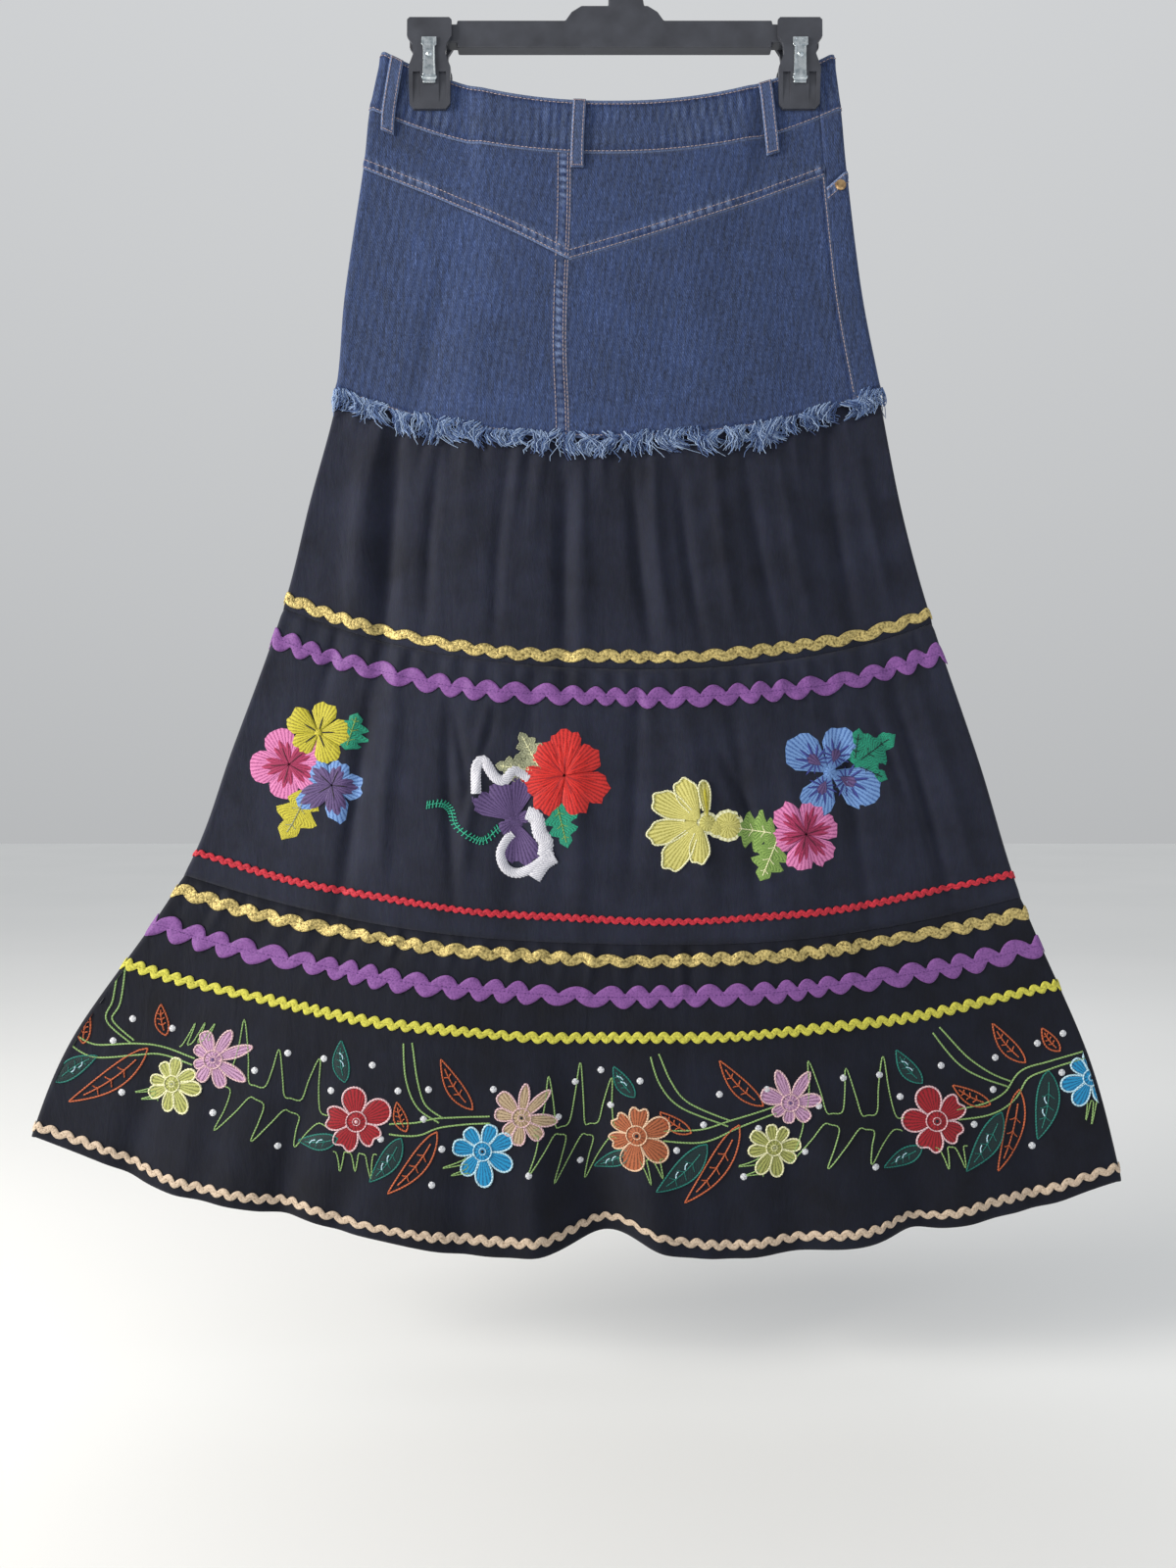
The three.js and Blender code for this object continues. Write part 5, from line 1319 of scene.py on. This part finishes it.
def belt_loop(loop, stitches):
    """A folded strip of denim that stands off the band in its middle, with stitched sides and tacked ends."""
    t = np.linspace(0, 1, 30)[:, None]
    s = np.linspace(-1, 1, 9)[None, :]
    level = mix(loop["from"], loop["to"], t) + 0 * s
    share = mix(loop["top"], loop["bottom"], t) + s * across_mm(level, LOOP_WIDTH / 2)
    w = w_of(loop["side"], share)
    inner = 0.9 + LOOP_RISE * smooth(np.minimum(t, 1 - t) * 4)
    rows = 0.25 * np.exp(-(((np.abs(s) - 0.62) / 0.16) ** 2))
    outer = inner + LOOP_THICK - rows + 0.12 * np.sin(t * 70) * (1 - np.abs(s)) - 0.3 * np.abs(s) ** 6
    points, faces = wall(skin(w, level, outer), skin(w, level, inner + 0 * s))
    piece = make_object(loop["name"] + "_strip", points, faces, [DENIM])
    worn = 0.35 + 0.9 * np.abs(s) ** 5 + 0 * t
    set_values(piece, "wear_and_pucker_shade", np.concatenate([worn.ravel(), np.zeros(outer.size)]))
    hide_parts(loop["name"])
    for column in (1, 7):
        stitch_row(stitches, w[:, column], level[:, column], outer[:, column] + 0.1)
    for row in (1, 28):
        stitch_row(stitches, w[row], level[row], outer[row] + 0.2, length=1.6, gap=0.1)


def softened(name, material, width):
    """A copy of a solid with its edges rounded over, as moulding and bending leave them."""
    node = frame["nodes"][name]
    piece = bpy.data.objects.new(name + "_rounded", node.data.copy())
    piece.matrix_world = node.matrix_world.copy()
    piece.data.materials.clear()
    piece.data.materials.append(material)
    bpy.context.scene.collection.objects.link(piece)
    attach(piece, "root")
    weld = piece.modifiers.new("weld", "WELD")
    weld.merge_threshold = 0.00005
    flatten = piece.modifiers.new("flatten", "DECIMATE")
    flatten.decimate_type = "DISSOLVE"
    flatten.angle_limit = math.radians(3)
    bevel = piece.modifiers.new("edges", "BEVEL")
    bevel.width = width * MM
    bevel.segments = 3
    bevel.limit_method = "ANGLE"
    bevel.angle_limit = math.radians(24)
    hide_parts(name)


# A clip's steel leaf from its upper end down: millimetres from that end, half its width there, and how far
# it stands out. It is a bracket, then the tongue, a rolled lip and the tab below it.
LEAF_STATIONS = np.array([
    (0.0, 6.0, 0.0), (0.6, 6.0, 0.45), (6.6, 6.0, 0.45), (7.2, 4.7, 0.1), (19.0, 4.8, 0.0),
    (30.0, 5.2, 0.1), (30.8, 6.0, 0.9), (31.8, 6.0, 1.3), (32.8, 6.0, 0.8), (33.4, 4.9, 0.0),
    (34.2, 4.9, 0.6), (36.0, 4.8, 0.3),
])
LEAF_BUTTON = (13.0, 2.2, 1.1)  # from the upper end, radius and height, in millimetres


def clip_leaf(name):
    """A clip's bent steel leaf, which follows its solid's face, with its window, raised rims and button."""
    node = frame["nodes"][name]
    corners = np.array([node.matrix_world @ vertex.co for vertex in node.data.vertices]) / MM
    heights = np.unique(corners[:, 2].round(1))
    face = [corners[np.abs(corners[:, 2] - z) < 0.2, 1].min() for z in heights]
    middle = (corners[:, 0].min() + corners[:, 0].max()) / 2
    steps_down, steps_across = np.linspace(0, heights[-1] - heights[0], 73), np.linspace(-1, 1, 25)
    down, across = np.meshgrid(steps_down, steps_across, indexing="ij")
    half = np.interp(down, LEAF_STATIONS[:, 0], LEAF_STATIONS[:, 1])
    rise = np.interp(down, LEAF_STATIONS[:, 0], LEAF_STATIONS[:, 2])
    tongue = (down > 7.2) & (down < 30.0)
    rise = rise + np.where(tongue & (np.abs(across) > 0.8), 0.45, 0)
    rise = rise - np.where((down > 1.9) & (down < 5.9) & (np.abs(across) < 0.62), 0.5, 0)
    place, radius, height = LEAF_BUTTON
    from_button = np.hypot(across * half, down - place) / radius
    rise = rise + height * np.sqrt(np.clip(1 - from_button**2, 0, 1))
    z = heights[-1] - down
    near = np.interp(z, heights, face)
    x = middle + across * half
    points, faces = wall(np.stack([x, near - rise, z], axis=-1), np.stack([x, near + 0.9, z], axis=-1))
    piece = make_object(name + "_leaf", points, faces, [SPRING_STEEL])
    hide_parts(name)


def hook():
    """The hanger's round hook, along the solid's own curve."""
    r, top, foot = HOOK_RADIUS, ROD_RADIUS, NECK_TOP + 0.3
    middle, k = top - r, 0.5523 * r
    bends = [
        [(NECK_X, foot), (NECK_X, foot + 16), (r, middle - 18), (r, middle)],
        [(r, middle), (r, middle + k), (k, top), (0, top)],
        [(0, top), (-k, top), (-r, middle + k), (-r, middle)],
        [(-r, middle), (-r, middle - 5), (-r + 2, middle - 10), (-r + 4, middle - 13)],
    ]
    t = np.linspace(0, 1, 16)[:-1, None]
    path = [(1 - t) ** 3 * a + 3 * t * (1 - t) ** 2 * b + 3 * t * t * (1 - t) * c + t**3 * d
            for a, b, c, d in (np.array(bend, float) for bend in bends)]
    path = np.concatenate([np.array([bends[0][0]], float), *path, np.array([bends[-1][-1]] * 2, float)])
    along = unit(np.gradient(path, axis=0))
    radius = np.full(len(path), ROD_RADIUS)
    radius[-4:] = ROD_RADIUS * np.array([0.97, 0.85, 0.55, 0.01])
    radius[0] = 0.01
    angle = np.linspace(0, 2 * math.pi, 17)[:-1]
    x = path[:, :1] - along[:, 1:] * radius[:, None] * np.cos(angle)
    z = path[:, 1:] + along[:, :1] * radius[:, None] * np.cos(angle)
    y = radius[:, None] * np.sin(angle)
    points = np.stack([x, y, z], axis=-1)
    grid = np.arange(len(path) * 16).reshape(len(path), 16)
    after = np.roll(grid, -1, axis=1)
    faces = np.stack([grid[:-1], after[:-1], after[1:], grid[1:]], axis=-1).reshape(-1, 4)
    piece = make_object("hanger_hook_round", points, faces, [POLYPROPYLENE])
    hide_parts("hanger_hook")


# The camera, the light and the floor

def studio():
    """A level camera square on to the skirt's back, three soft lights, a pale room and a plain floor."""
    scene = bpy.context.scene
    camera = bpy.data.objects.new("camera", bpy.data.cameras.new("camera"))
    camera.data.lens = 28.125  # shows 1280 mm of height at 1000 mm
    camera.data.sensor_width = 36
    camera.location = (-0.0216, -1.0, -0.703)
    camera.rotation_euler = (math.pi / 2, 0, 0)
    scene.collection.objects.link(camera)
    scene.camera = camera
    scene.view_settings.view_transform = "Standard"
    lights = [
        ("key", (-2.1, -0.9, -0.1), 60, 0.8, "#fffaf2"),
        ("fill", (1.5, -1.8, -0.3), 7, 1.5, "#f1f5ff"),
        ("rim", (0.5, 1.9, 0.4), 4, 1.3, "#ffffff"),
    ]
    for name, place, power, size, code in lights:
        light = bpy.data.lights.new(name, "AREA")
        light.energy, light.size, light.color = power, size, colour(code)[:3]
        lamp = bpy.data.objects.new(name, light)
        lamp.location = place
        towards = np.array((0.0, 0.0, -0.6)) - np.array(place)
        turn = math.atan2(towards[0], towards[1])
        tilt = math.atan2(towards[2], math.hypot(towards[0], towards[1]))
        lamp.rotation_euler = (math.pi / 2 + tilt, 0, -turn)
        scene.collection.objects.link(lamp)
    world = bpy.data.worlds.new("pale_room")
    world.use_nodes = True
    sky = world.node_tree
    background = sky.nodes["Background"]
    background.inputs["Color"].default_value = colour("#e6e8ea")
    # The room is paler above, and behind the skirt.
    way = add_node(sky, "ShaderNodeVectorMath", {"operation": "DOT_PRODUCT"},
                   {0: add_node(sky, "ShaderNodeTexCoord").outputs["Generated"], 1: (0, 0.12, 0.36)})
    drive(sky, background, Strength=maths(sky, "ADD", way.outputs["Value"], 0.51))
    scene.world = world
    floor_mesh = bpy.data.meshes.new("floor")
    reach, low = 9.0, -1.19
    corners = [(-reach, -reach, low), (reach, -reach, low), (reach, reach, low), (-reach, reach, low)]
    floor_mesh.from_pydata(corners, [], [(0, 1, 2, 3)])
    material, tree, shader, where = new_material("matt_floor", {"Roughness": 0.9})
    tint = noise(tree, where, 1.5).outputs["Fac"]
    drive(tree, shader, Base_Color=ramp(tree, tint, (0, "#ecedec"), (1, "#f4f4f3")))
    floor_mesh.materials.append(material)
    floor = bpy.data.objects.new("floor", floor_mesh)
    scene.collection.objects.link(floor)


studio()
denim_hip()
cotton_tiers()
left_patch()
middle_patch()
right_patch()
for side_of_skirt, side_word in ((BACK, "back"), (FRONT, "front")):
    fray(side_of_skirt, side_word)
    border(side_of_skirt, side_word)
    for braid_row in BRAIDS:
        braid(braid_row, side_of_skirt, side_word)
hook()
softened("hanger_bar", POLYPROPYLENE, 1.3)
for hand_word in ("left", "right"):
    for jaw_word in ("near", "far"):
        softened(f"clip_{hand_word}_{jaw_word}_jaw", POLYPROPYLENE, 0.9)
    clip_leaf(f"clip_{hand_word}_spring")
for node_name in SLOTS:
    if node_name.startswith("pocket_rivet") or node_name == "waist_button":
        softened(node_name, ANTIQUE_BRASS, 0.35)
